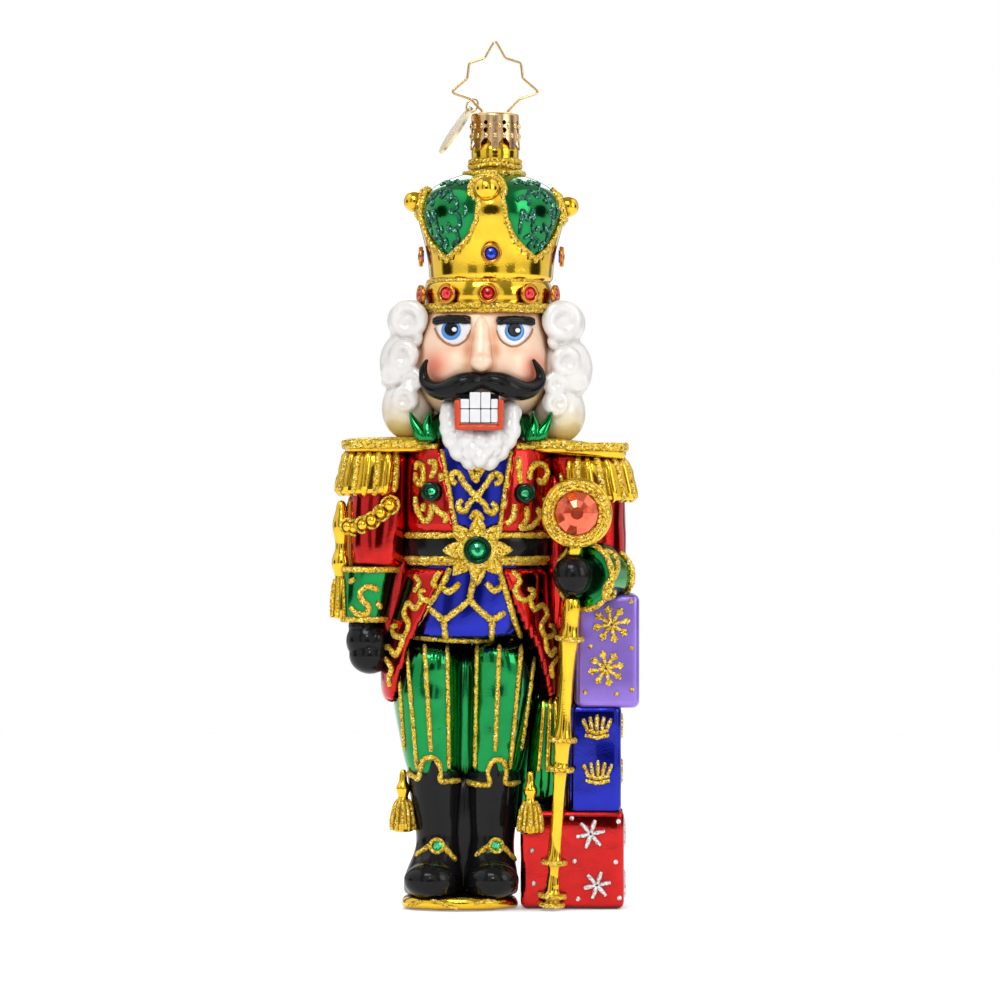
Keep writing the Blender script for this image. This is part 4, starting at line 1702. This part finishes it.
class NUTCRACKER_OT_arms(bpy.types.Operator):
    """Arms: epaulettes with fringes, red sleeves, green cuffs, black gloves and the gold cord"""
    bl_idname = "nutcracker.arms"
    bl_label = "Shoulders and arms"

    def execute(self, context):
        lines, cords, ropes, boards, fringes = [], [], [], [], []
        skins = {}
        for side, label in ((-1, "left"), (1, "right")):
            sleeve = lofted("sleeve_" + label + "_glass", ARMS[side], 32, 2)
            lumpy(sleeve, 0.5, 6, 30 + side)
            skins[side] = skin_of(sleeve)
            clad(sleeve, "ruby", nodes=["sleeve_" + label])
            skirt = lofted("fringe", FRINGES[side], 32, 2)
            fringe_skin = skin_of(skirt)
            fringes.append(skirt)
            low, x0, y0, _, _ = FRINGES[side][0]
            top, x1, y1, _, _ = FRINGES[side][-1]
            for k in range(22):
                angle = math.radians(360 / 22 * k)
                way = Vector((math.cos(angle), math.sin(angle), 0))
                run = []
                for step in range(13):
                    share = step / 12
                    heart = Vector((x0 + (x1 - x0) * share, y0 + (y1 - y0) * share,
                                    low + 0.2 + (top - low) * share))
                    hit = fringe_skin.ray_cast(heart * MM + way * 0.03, -way)[0]
                    if hit is not None:
                        run.append(hit - way * (0.1 if k % 2 else 0.3) * MM)
                (ropes if k % 2 else cords).append(run)
        left_board = lofted("board", [(101.4, -20.2, 0, 10.0, 8.0), (102.2, -20.2, 0, 10.7, 8.7),
                                      (104.2, -20.2, 0, 10.9, 8.8), (105.3, -20.1, 0, 10.2,
                                                                     8.2)], 8, 2, corner=0.55)
        right_board = lofted("board", [(101.8, 19.8, 0, 11.6, 8.0), (102.6, 19.8, 0, 12.3, 8.7),
                                       (104.6, 19.8, 0, 12.5, 8.8), (105.6, 19.7, 0, 11.8,
                                                                     8.2)], 8, 2, corner=0.55)
        pick(right_board)
        bpy.ops.transform.rotate(value=math.radians(-5.0), orient_axis="Y",
                                 center_override=(0.008, 0, 0.1038))
        settle(right_board)
        for board, cx in ((left_board, -20.2), (right_board, 19.8)):
            boards.append(board)
            board_skin = skin_of(board)
            for rise in (0.0, 0.7):
                shape = [p + UP * rise * MM for p in circle_points_on(board_skin, cx, 0, 90)]
                lines.append(shape + shape[:1])
        boards_piece = joined("epaulettes_gold", boards)
        top_glitter = parted(boards_piece, "epaulettes_glitter_top",
                             lambda c: c.z > 104.7 - 0.085 * max(0.0, c.x - 8))
        clad(boards_piece, "gold", nodes=["epaulettes"])
        clad(top_glitter, "gold_glitter")
        clad(joined("fringes_gold", fringes), "gold", nodes=["fringes"])
        clad(piping("fringe_ropes", cords, 1.9, seed=31, lump=0.05), "gold")
        clad(piping("fringe_glitter_ropes", ropes, 1.5, seed=35), "gold_glitter")

        cuff = lofted("cuff_left_glass", [
            (63.6, -26.4, -0.6, 4.4, 4.8), (64.4, -26.2, -0.6, 5.3, 5.6), (70.0, -25.6, -0.4, 5.9, 6.6),
            (75.2, -24.9, 0, 6.6, 7.4), (76.2, -24.8, 0, 6.7, 7.5), (76.6, -24.7, 0, 5.6, 6.4)], 32, 2)
        web = lofted("arm_web", [(50.0, -19.4, 1.6, 2.6, 3.6), (62.0, -20.0, 1.4, 4.8, 4.4),
                                 (78.0, -18.6, 1.2, 3.8, 5.0),
                                 (101.0, -17.4, 0.8, 3.4, 5.0)], 24, 2)
        other = lofted("arm_web", [(60.0, 16.6, 1.6, 3.2, 4.4), (72.0, 17.2, 1.0, 4.0, 5.4),
                                   (84.0, 17.0, 0.8, 4.4, 5.6),
                                   (101.0, 16.6, 0.6, 4.4, 5.2)], 24, 2)
        clad(joined("arm_webs_glass", [web, other]), "ruby")
        web = lofted("staff_web_glass", [(6.0, 17.6, 0.6, 2.6, 2.4), (40.0, 18.2, 0.4, 3.2, 2.6),
                                         (68.0, 18.6, 0.6, 3.6, 2.8)], 24, 2)
        tie = lofted("tassel_web_glass", [(64.0, -29.6, -0.8, 1.5, 1.8), (80.0, -29.4, -0.8, 1.6, 1.8),
                                          (93.0, -29.2, -0.8, 1.4, 1.6)], 20, 2)
        clad(joined("gold_webs_glass", [web, tie]), "amber")
        cuff_skin = skin_of(cuff)
        clad(cuff, "emerald", nodes=["cuff_left"])
        lines.append(wrapped(cuff_skin, (-25.4, 0), 75.6))
        lines.append(wrapped(cuff_skin, (-26.8, -0.5), 64.5))
        for mark in ([(-23.2, 71.0), (-25.4, 71.9), (-27.2, 70.6), (-26.6, 68.6), (-25.4, 67.6),
                      (-25.8, 65.9),
                      (-27.8, 65.8), (-29.4, 67.2)], [(-29.6, 72.8), (-28.4, 73.6)], [(-22.6, 67.0),
                                                                                      (-23.6, 68.4)]):
            lines.append(laid(cuff_skin, eased_pairs(mark)))
            lines.append(laid(cuff_skin, eased_pairs(mark), behind=True))

        glove = fused("glove_left_leather", [
            ball("palm", (-25.8, -0.8, 59.6), (4.8, 4.6, 4.8)),
            ball("fist", (-25.2, -1.2, 56.4), (4.7, 4.5, 4.2)),
            ball("thumb", (-23.4, -3.6, 58.6), (1.6, 1.6, 3.0), (20, 12, 0)),
            ball("wrist", (-26.7, -0.6, 63.0), (3.4, 4.0, 2.6))], 0.34, 4)
        clad(glove, "black", nodes=["glove_left"])

        tail, mouth = Vector((29.2, -1.0, 74.2)), Vector((22.4, -10.8, 74.2))
        way = (mouth - tail).normalized()
        clear_selection()
        bpy.ops.mesh.primitive_cone_add(vertices=40, radius1=5.2 * MM, radius2=7.4 * MM, depth=1 * MM)
        cone = named("cuff_right_glass")
        cone.scale = (1, 1, (mouth - tail).length)
        cone.rotation_mode = "QUATERNION"
        cone.rotation_quaternion = UP.rotation_difference(way)
        cone.location = (mouth + tail) / 2 * MM
        settle(cone)
        edit(cone)
        bpy.ops.mesh.bevel(offset=0.9 * MM, segments=4)
        bpy.ops.mesh.select_all(action="SELECT")
        bpy.ops.mesh.subdivide(number_cuts=3, smoothness=0)
        bpy.ops.object.mode_set(mode="OBJECT")
        tidy(cone)
        swell = ball("cuff_swell", (26.2, -5.4, 74.4), (5.2, 6.0, 7.4))
        cone = fused("cuff_right_glass", [cone, swell], 0.4, 4)
        cone_skin = skin_of(cone)
        clad(cone, "emerald", nodes=["cuff_right"])
        lip = [p * MM for p in circle_round(mouth - way * 0.4, way, 7.3, 60)]
        lines.append(lip + lip[:1])
        back_lip = [p * MM for p in circle_round(tail + way * 0.8, way, 5.6, 60)]
        lines.append(back_lip + back_lip[:1])
        for mark in ([(26.3, 79.4), (27.8, 79.8), (29.4, 78.6), (29.9, 76.6), (29.2, 74.3), (27.5, 72.3),
                      (26.9, 70.4),
                      (27.4, 69.4), (28.8, 69.8), (29.3, 71.2)],):
            lines.append(laid(cone_skin, eased_pairs(mark)))
            lines.append(laid(cone_skin, eased_pairs(mark), behind=True))

        cx, cy, cz = 20.0, -12.6, 74.4
        hand = [ball("palm", (cx, cy, cz), (4.5, 4.3, 4.6)),
                ball("wrist", (cx + 1.6, cy + 2.4, cz), (3.8, 3.8, 4.2))]
        hand = fused("glove_right_leather", hand, 0.34, 9)
        clad(hand, "black", nodes=["glove_right"])

        beads, seats = [], []
        run = [(-20.6, 90.0, 1.5), (-22.6, 88.2, 1.25), (-24.6, 86.6, 1.25), (-26.6, 85.6, 1.25),
               (-28.5, 85.0, 1.25),
               (-30.0, 85.2, 1.2)]
        for x, z, r in run:
            hit = laid(skins[-1], [(x, z)])
            spot = hit[0] / MM if hit else Vector((x, -4.0, z))
            spot += Vector((0, -0.5, 0))
            beads.append(ball("bead", spot, (r, r, r), segments=20))
            ring = [p * MM for p in circle_round(spot + Vector((0, 0.5, 0)), FRONT, r + 0.45, 24)]
            seats.append(ring + ring[:1])
        clad(joined("cord_beads_gold", beads), "gold", nodes=["cord_beads"])
        cord_line = [(-19.2, 91.6), (-22.4, 89.7), (-25.4, 87.8), (-28.4, 86.6), (-30.4, 86.8)]
        seats.append(laid(skins[-1], eased_pairs(cord_line)))
        clad(piping("cord_glitter", [s for s in seats if len(s) > 2], 0.75, seed=33), "gold_glitter")

        tassel = turned("arm_tassel_gold", -31.6, -1.0, [
            (1.5, 64.4), (2.4, 65.2), (2.3, 68.0), (2.0, 71.4), (1.5, 73.6), (1.4, 74.4), (2.3, 76.4), (2.2,
                                                                                                        78.2),
            (1.4, 79.6), (1.3, 82.0), (2.1, 84.6), (2.0, 86.6), (1.3, 88.4), (1.0, 91.2)], 24, 2)
        clad(tassel, "gold", nodes=["arm_tassel"])
        threads = []
        for k in range(10):
            angle = math.radians(36 * k)
            c, s = math.cos(angle), math.sin(angle)
            threads.append([Vector((-31.6 + r * c, -1.0 + r * s, z)) * MM for r, z in (
                (1.6, 73.4), (1.9, 72.0), (2.1, 70.4), (2.3, 68.6), (2.4, 67.0), (2.45, 65.6), (2.3, 64.9))])
        clad(piping("arm_tassel_threads", threads, 0.7, seed=34), "gold_glitter")
        clad(piping("arm_glitter_lines", [r for r in lines if len(r) > 2], 1.35, seed=32), "gold_glitter")
        return {"FINISHED"}


def circle_points_on(skin, cx, cy, count):
    """The outline of a flat board: the furthest skin all round its middle, at its widest height."""
    out = []
    for k in range(count):
        angle = 2 * math.pi * k / count
        way = Vector((math.cos(angle), math.sin(angle), 0))
        best = None
        for z in (102.6, 103.2, 103.8, 104.4):
            start = Vector((cx, cy, z)) * MM + way * FAR
            hit = skin.ray_cast(start, -way)[0]
            if hit is not None and (best is None or (hit - start).length < (best - start).length):
                best = hit
        if best is not None:
            out.append(best)
    return out


# ---- staff ----------------------------------------------------------------------------------------------
class NUTCRACKER_OT_staff(bpy.types.Operator):
    """Staff: turned gold stick, glitter-ringed head and its large orange stone"""
    bl_idname = "nutcracker.staff"
    bl_label = "Staff"

    def execute(self, context):
        foot, grip = Vector((15.2, -9.4, 0.4)), Vector((19.9, -12.2, 70.4))
        profile = [(0.6, 0.0), (2.2, 0.2), (2.4, 1.2), (1.6, 2.2), (2.6, 2.9), (1.6, 3.7), (1.6, 5.6),
                   (1.2, 7.0),
                   (1.2, 9.4), (2.3, 10.3), (1.3, 11.3), (1.35, 20.0), (1.5, 29.0), (1.7, 30.2), (2.5, 31.1),
                   (1.6, 32.0), (1.9, 34.0), (1.8, 36.2), (2.7, 37.7), (1.6, 39.0), (1.5, 50.0), (1.7, 58.2),
                   (2.7, 60.2), (1.8, 61.8), (2.1, 66.0), (2.0, 70.0)]
        shaft = turned("staff_shaft_gold", 0, 0, profile, 24, 2)
        way = (grip - foot).normalized()
        shaft.rotation_mode = "QUATERNION"
        shaft.rotation_quaternion = UP.rotation_difference(way)
        shaft.location = foot * MM
        settle(shaft)
        clad(shaft, "gold", nodes=["staff_shaft"])
        lines = []
        for height, radius in ((0.9, 2.45), (2.9, 2.7), (10.3, 2.4), (31.1, 2.6), (37.7, 2.8), (60.2, 2.8)):
            ring = [p * MM for p in circle_round(foot + way * height, way, radius, 28)]
            lines.append(ring + ring[:1])
        heart = Vector((20.8, -13.4, 88.2))
        disc = lofted("staff_head_gold", [(-1.2, 0, 0, 7.2, 7.2), (-0.7, 0, 0, 7.9, 7.9),
                                          (0.5, 0, 0, 8.0, 8.0),
                                          (1.1, 0, 0, 7.2, 7.2), (1.15, 0, 0, 5.4, 5.4)], 48, 2)
        disc.rotation_euler = Euler((math.radians(90), 0, 0))
        disc.location = heart * MM
        settle(disc)
        stem = lofted("staff_stem", [(78.0, 20.3, -12.9, 1.6, 1.6), (80.6, 20.5, -13.0, 1.9, 1.9),
                                     (82.4, 20.6, -13.2, 1.4, 1.4)], 20, 1)
        clad(joined("staff_head_gold", [disc, stem]), "gold", nodes=["staff_head"])
        rng = random.Random(SEED + 41)
        for radius in (5.3, 6.1, 6.9):
            ring = []
            for p in circle_round(heart + Vector((0, -1.15, 0)), FRONT, radius, 60):
                ring.append((p + Vector((0, rng.uniform(-0.12, 0.12), 0))) * MM)
            lines.append(ring + ring[:1])
        back_ring = [p * MM for p in circle_round(heart + Vector((0, 1.2, 0)), FRONT, 6.0, 60)]
        lines.append(back_ring + back_ring[:1])
        clad(piping("staff_glitter", lines, 1.15, seed=42), "gold_glitter")
        reclad("staff_stone", "orange_crystal")
        return {"FINISHED"}


# ---- parcels --------------------------------------------------------------------------------------------
def flake_lines(x, z, reach, arms=8, bars=True):
    """A six- or eight-armed snowflake of short strokes."""
    out = []
    for k in range(arms):
        angle = 2 * math.pi * k / arms + 0.2
        c, s = math.cos(angle), math.sin(angle)
        out.append([(x + 0.3 * c, z + 0.3 * s), (x + reach * c, z + reach * s)])
        if bars:
            for swing in (-0.6, 0.6):
                c2, s2 = math.cos(angle + swing), math.sin(angle + swing)
                out.append([(x + reach * 0.62 * c, z + reach * 0.62 * s),
                            (x + reach * 0.62 * c + reach * 0.3 * c2,
                             z + reach * 0.62 * s + reach * 0.3 * s2)])
    return out


def crown_lines(x, z, size):
    """A small crown: a curved foot and five rays."""
    out = [[(x - 0.9 * size, z - 0.55 * size), (x, z - 0.75 * size), (x + 0.9 * size, z - 0.55 * size)],
           [(x - 0.85 * size, z - 0.2 * size), (x, z - 0.4 * size), (x + 0.85 * size, z - 0.2 * size)]]
    for k in range(5):
        lean = (k - 2) / 2
        out.append([(x + 0.7 * lean * size, z - 0.2 * size), (x + 1.05 * lean * size,
                                                              z + (0.95 - 0.3 * abs(lean)) * size)])
    return out


class NUTCRACKER_OT_parcels(bpy.types.Operator):
    """Parcels: red, blue and lavender boxes with glitter snowflakes, crowns and dots"""
    bl_idname = "nutcracker.parcels"
    bl_label = "Parcels"

    def execute(self, context):
        gold, white, dots, white_dots = [], [], [], []
        looks = {
            "gift_red": ("ruby", "ruby", [(24.0, 16.8, 3.3), (25.4, 5.4, 3.1)], [
                (30.2, 19.6), (29.6, 10.6), (20.4, 10.8), (30.4, 2.6), (21.2, 2.4), (11.0, 13.2), (11.4,
                                                                                                   5.8), (19.8, 20.4)]),
            "gift_blue": ("cobalt", "cobalt", [(25.4, 40.5, 3.0), (25.6, 30.4, 3.0)], []),
            "gift_purple": ("lavender", "lavender", [(28.6, 63.5, 4.2), (27.4, 53.7, 4.0)], [
                (23.6, 68.2), (33.0, 68.6), (24.0, 58.6), (33.0, 58.2), (33.2, 49.0), (22.8, 48.4), (29.8,
                                                                                                     48.0)]),
        }
        for node, (finish, slot, marks, specks) in looks.items():
            low, high = (Vector(c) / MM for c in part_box(node))
            overlap = 0.05 if node == "gift_red" else -0.9
            box = rounded_box(node + "_glass", low + Vector((0.05, 0.05, overlap)),
                              high - Vector((0.05, 0.05, 0.05)),
                              1.6, cuts=5)
            if node != "gift_purple":
                lumpy(box, 0.35, 8, 50)
            skin = skin_of(box)
            clad(box, finish, nodes=[node], angle=60)
            strokes = white if node == "gift_red" else gold
            for x, z, reach in marks:
                figure = (crown_lines(x, z, reach) if node == "gift_blue"
                          else flake_lines(x, z, reach, 8 if node == "gift_purple" else 6,
                                           node == "gift_purple"))
                for run in figure:
                    for behind in (False, True):
                        strokes.append(laid(skin, straight(run), behind=behind))
                strokes += side_strokes(skin, figure, x, (low.y + high.y) / 2)
            for x, z in specks:
                for behind in (False, True):
                    for spot in laid(skin, [(x, z)], behind=behind):
                        (white_dots if node == "gift_red" else dots).append(
                            ball("speck", spot / MM, (0.55, 0.4, 0.55), segments=12))
        for name, runs, finish, slot, seed in (("parcel_gold_figures", gold, "gold_glitter", "gold_glitter",
                                                51),
                                               ("parcel_white_figures", white, "white_glitter", "white", 52)):
            clad(piping(name, [r for r in runs if len(r) > 1], 0.95, seed=seed), finish)
        clad(joined("parcel_gold_dots", dots), "gold_glitter")
        clad(joined("parcel_white_dots", white_dots), "white_glitter")
        return {"FINISHED"}


def side_strokes(skin, figure, x, y):
    """The same figure on a parcel's outer side."""
    out = []
    for run in figure:
        path = []
        for px, pz in straight(run):
            start = Vector((FAR, (y + px - x) * MM, pz * MM))
            hit = skin.ray_cast(start, Vector((-1, 0, 0)))[0]
            if hit is not None:
                path.append(hit)
        out.append(path)
    return out


# ---- cap, hanger and tag --------------------------------------------------------------------------------
class NUTCRACKER_OT_hanging(bpy.types.Operator):
    """Hanging parts: gold neck with its glitter ring, pressed cap, star wire, small ring and tag"""
    bl_idname = "nutcracker.hanging"
    bl_label = "Neck, cap, hanger and tag"

    def execute(self, context):
        cap_low, cap_high = low_of("cap"), high_of("cap")
        cx = (cap_low.x + cap_high.x) / 2
        low = low_of("glass_neck").z
        neck = turned("glass_neck_gold", cx, 0, [
            (5.2, low + 0.1), (5.5, low + 0.6), (5.55, low + 2.4), (5.2, low + 3.6), (5.45, low + 4.6),
            (5.3, low + 5.8), (4.4, low + 7.0), (4.3, low + 8.0), (4.3, low + 12.8), (3.8,
                                                                                      low + 13.2)], 40, 2)
        neck_skin = skin_of(neck)
        clad(neck, "gold", nodes=["glass_neck"])
        rings = [wrapped(neck_skin, (cx, 0), lambda a: low + 1.7 + 0.3 * math.sin(math.radians(3 * a))),
                 wrapped(neck_skin, (cx, 0), low + 2.7)]
        clad(piping("neck_glitter_ring", rings, 1.3, seed=61), "gold_glitter")
        reclad("cap", "cap_metal")
        for node in ("hanger_wire", "tag_ring"):
            reclad(node, "wire")
        reclad("tag", "tag_metal")
        dimples = []
        for k in range(16):
            angle = math.radians(22.5 * k + 11.25)
            c, s = math.cos(angle), math.sin(angle)
            for height, reach in ((3.0, 5.38), (5.2, 5.32)):
                shift = math.radians(11.25) if height > 4 else 0
                c, s = math.cos(angle + shift), math.sin(angle + shift)
                dimples.append(ball("dimple", (cx + reach * c * 0.985, reach * s * 0.985,
                                               cap_high.z - height),
                                    (0.5, 0.5, 0.75), segments=14))
        clad(joined("cap_embossed_dots", dimples), "cap_metal", body="cap")
        return {"FINISHED"}


# ---- panel and start ------------------------------------------------------------------------------------
class NutcrackerColours(bpy.types.PropertyGroup):
    """Lacquer colours and the light of the tent"""
    gold: bpy.props.FloatVectorProperty(
        name="Gold", description="Yellow-gold lacquer over silver", subtype="COLOR", size=3, min=0, max=1,
        default=(0.90, 0.57, 0.03))
    emerald: bpy.props.FloatVectorProperty(
        name="Emerald", description="Green candy lacquer", subtype="COLOR", size=3, min=0, max=1,
        default=(0.004, 0.27, 0.06))
    ruby: bpy.props.FloatVectorProperty(
        name="Ruby", description="Red candy lacquer", subtype="COLOR", size=3, min=0, max=1,
        default=(0.58, 0.012, 0.01))
    cobalt: bpy.props.FloatVectorProperty(
        name="Cobalt", description="Blue candy lacquer", subtype="COLOR", size=3, min=0, max=1,
        default=(0.014, 0.022, 0.42))
    lavender: bpy.props.FloatVectorProperty(
        name="Lavender", description="Satin lavender lacquer", subtype="COLOR", size=3, min=0, max=1,
        default=(0.32, 0.20, 0.70))
    tent: bpy.props.FloatProperty(
        name="Tent light", description="How bright the white tent is in reflections", default=0.95, min=0, max=4)


STEPS = [NUTCRACKER_OT_stage, NUTCRACKER_OT_crown, NUTCRACKER_OT_head, NUTCRACKER_OT_hair,
         NUTCRACKER_OT_torso,
         NUTCRACKER_OT_skirts, NUTCRACKER_OT_legs, NUTCRACKER_OT_arms, NUTCRACKER_OT_staff, NUTCRACKER_OT_parcels,
         NUTCRACKER_OT_hanging]


class NUTCRACKER_PT_panel(bpy.types.Panel):
    """The ornament's pieces, in the order they are built"""
    bl_idname = "NUTCRACKER_PT_panel"
    bl_label = "Glass Nutcracker"
    bl_space_type = "VIEW_3D"
    bl_region_type = "UI"
    bl_category = "Nutcracker"

    def draw(self, context):
        column = self.layout.column()
        for name in NutcrackerColours.__annotations__:
            column.prop(context.scene.nutcracker_colours, name)
        for step in STEPS:
            column.operator(step.bl_idname)


def register():
    for kind in (NutcrackerColours, *STEPS, NUTCRACKER_PT_panel):
        bpy.utils.register_class(kind)
    bpy.types.Scene.nutcracker_colours = bpy.props.PointerProperty(type=NutcrackerColours)


def unregister():
    del bpy.types.Scene.nutcracker_colours
    for kind in (NUTCRACKER_PT_panel, *reversed(STEPS), NutcrackerColours):
        bpy.utils.unregister_class(kind)


def main():
    register()
    for step in STEPS:
        group, call = step.bl_idname.split(".")
        done = getattr(getattr(bpy.ops, group), call)()
        if done != {"FINISHED"}:
            raise RuntimeError(step.bl_idname + " did not finish")
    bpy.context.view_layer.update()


if __name__ == "__main__":
    main()
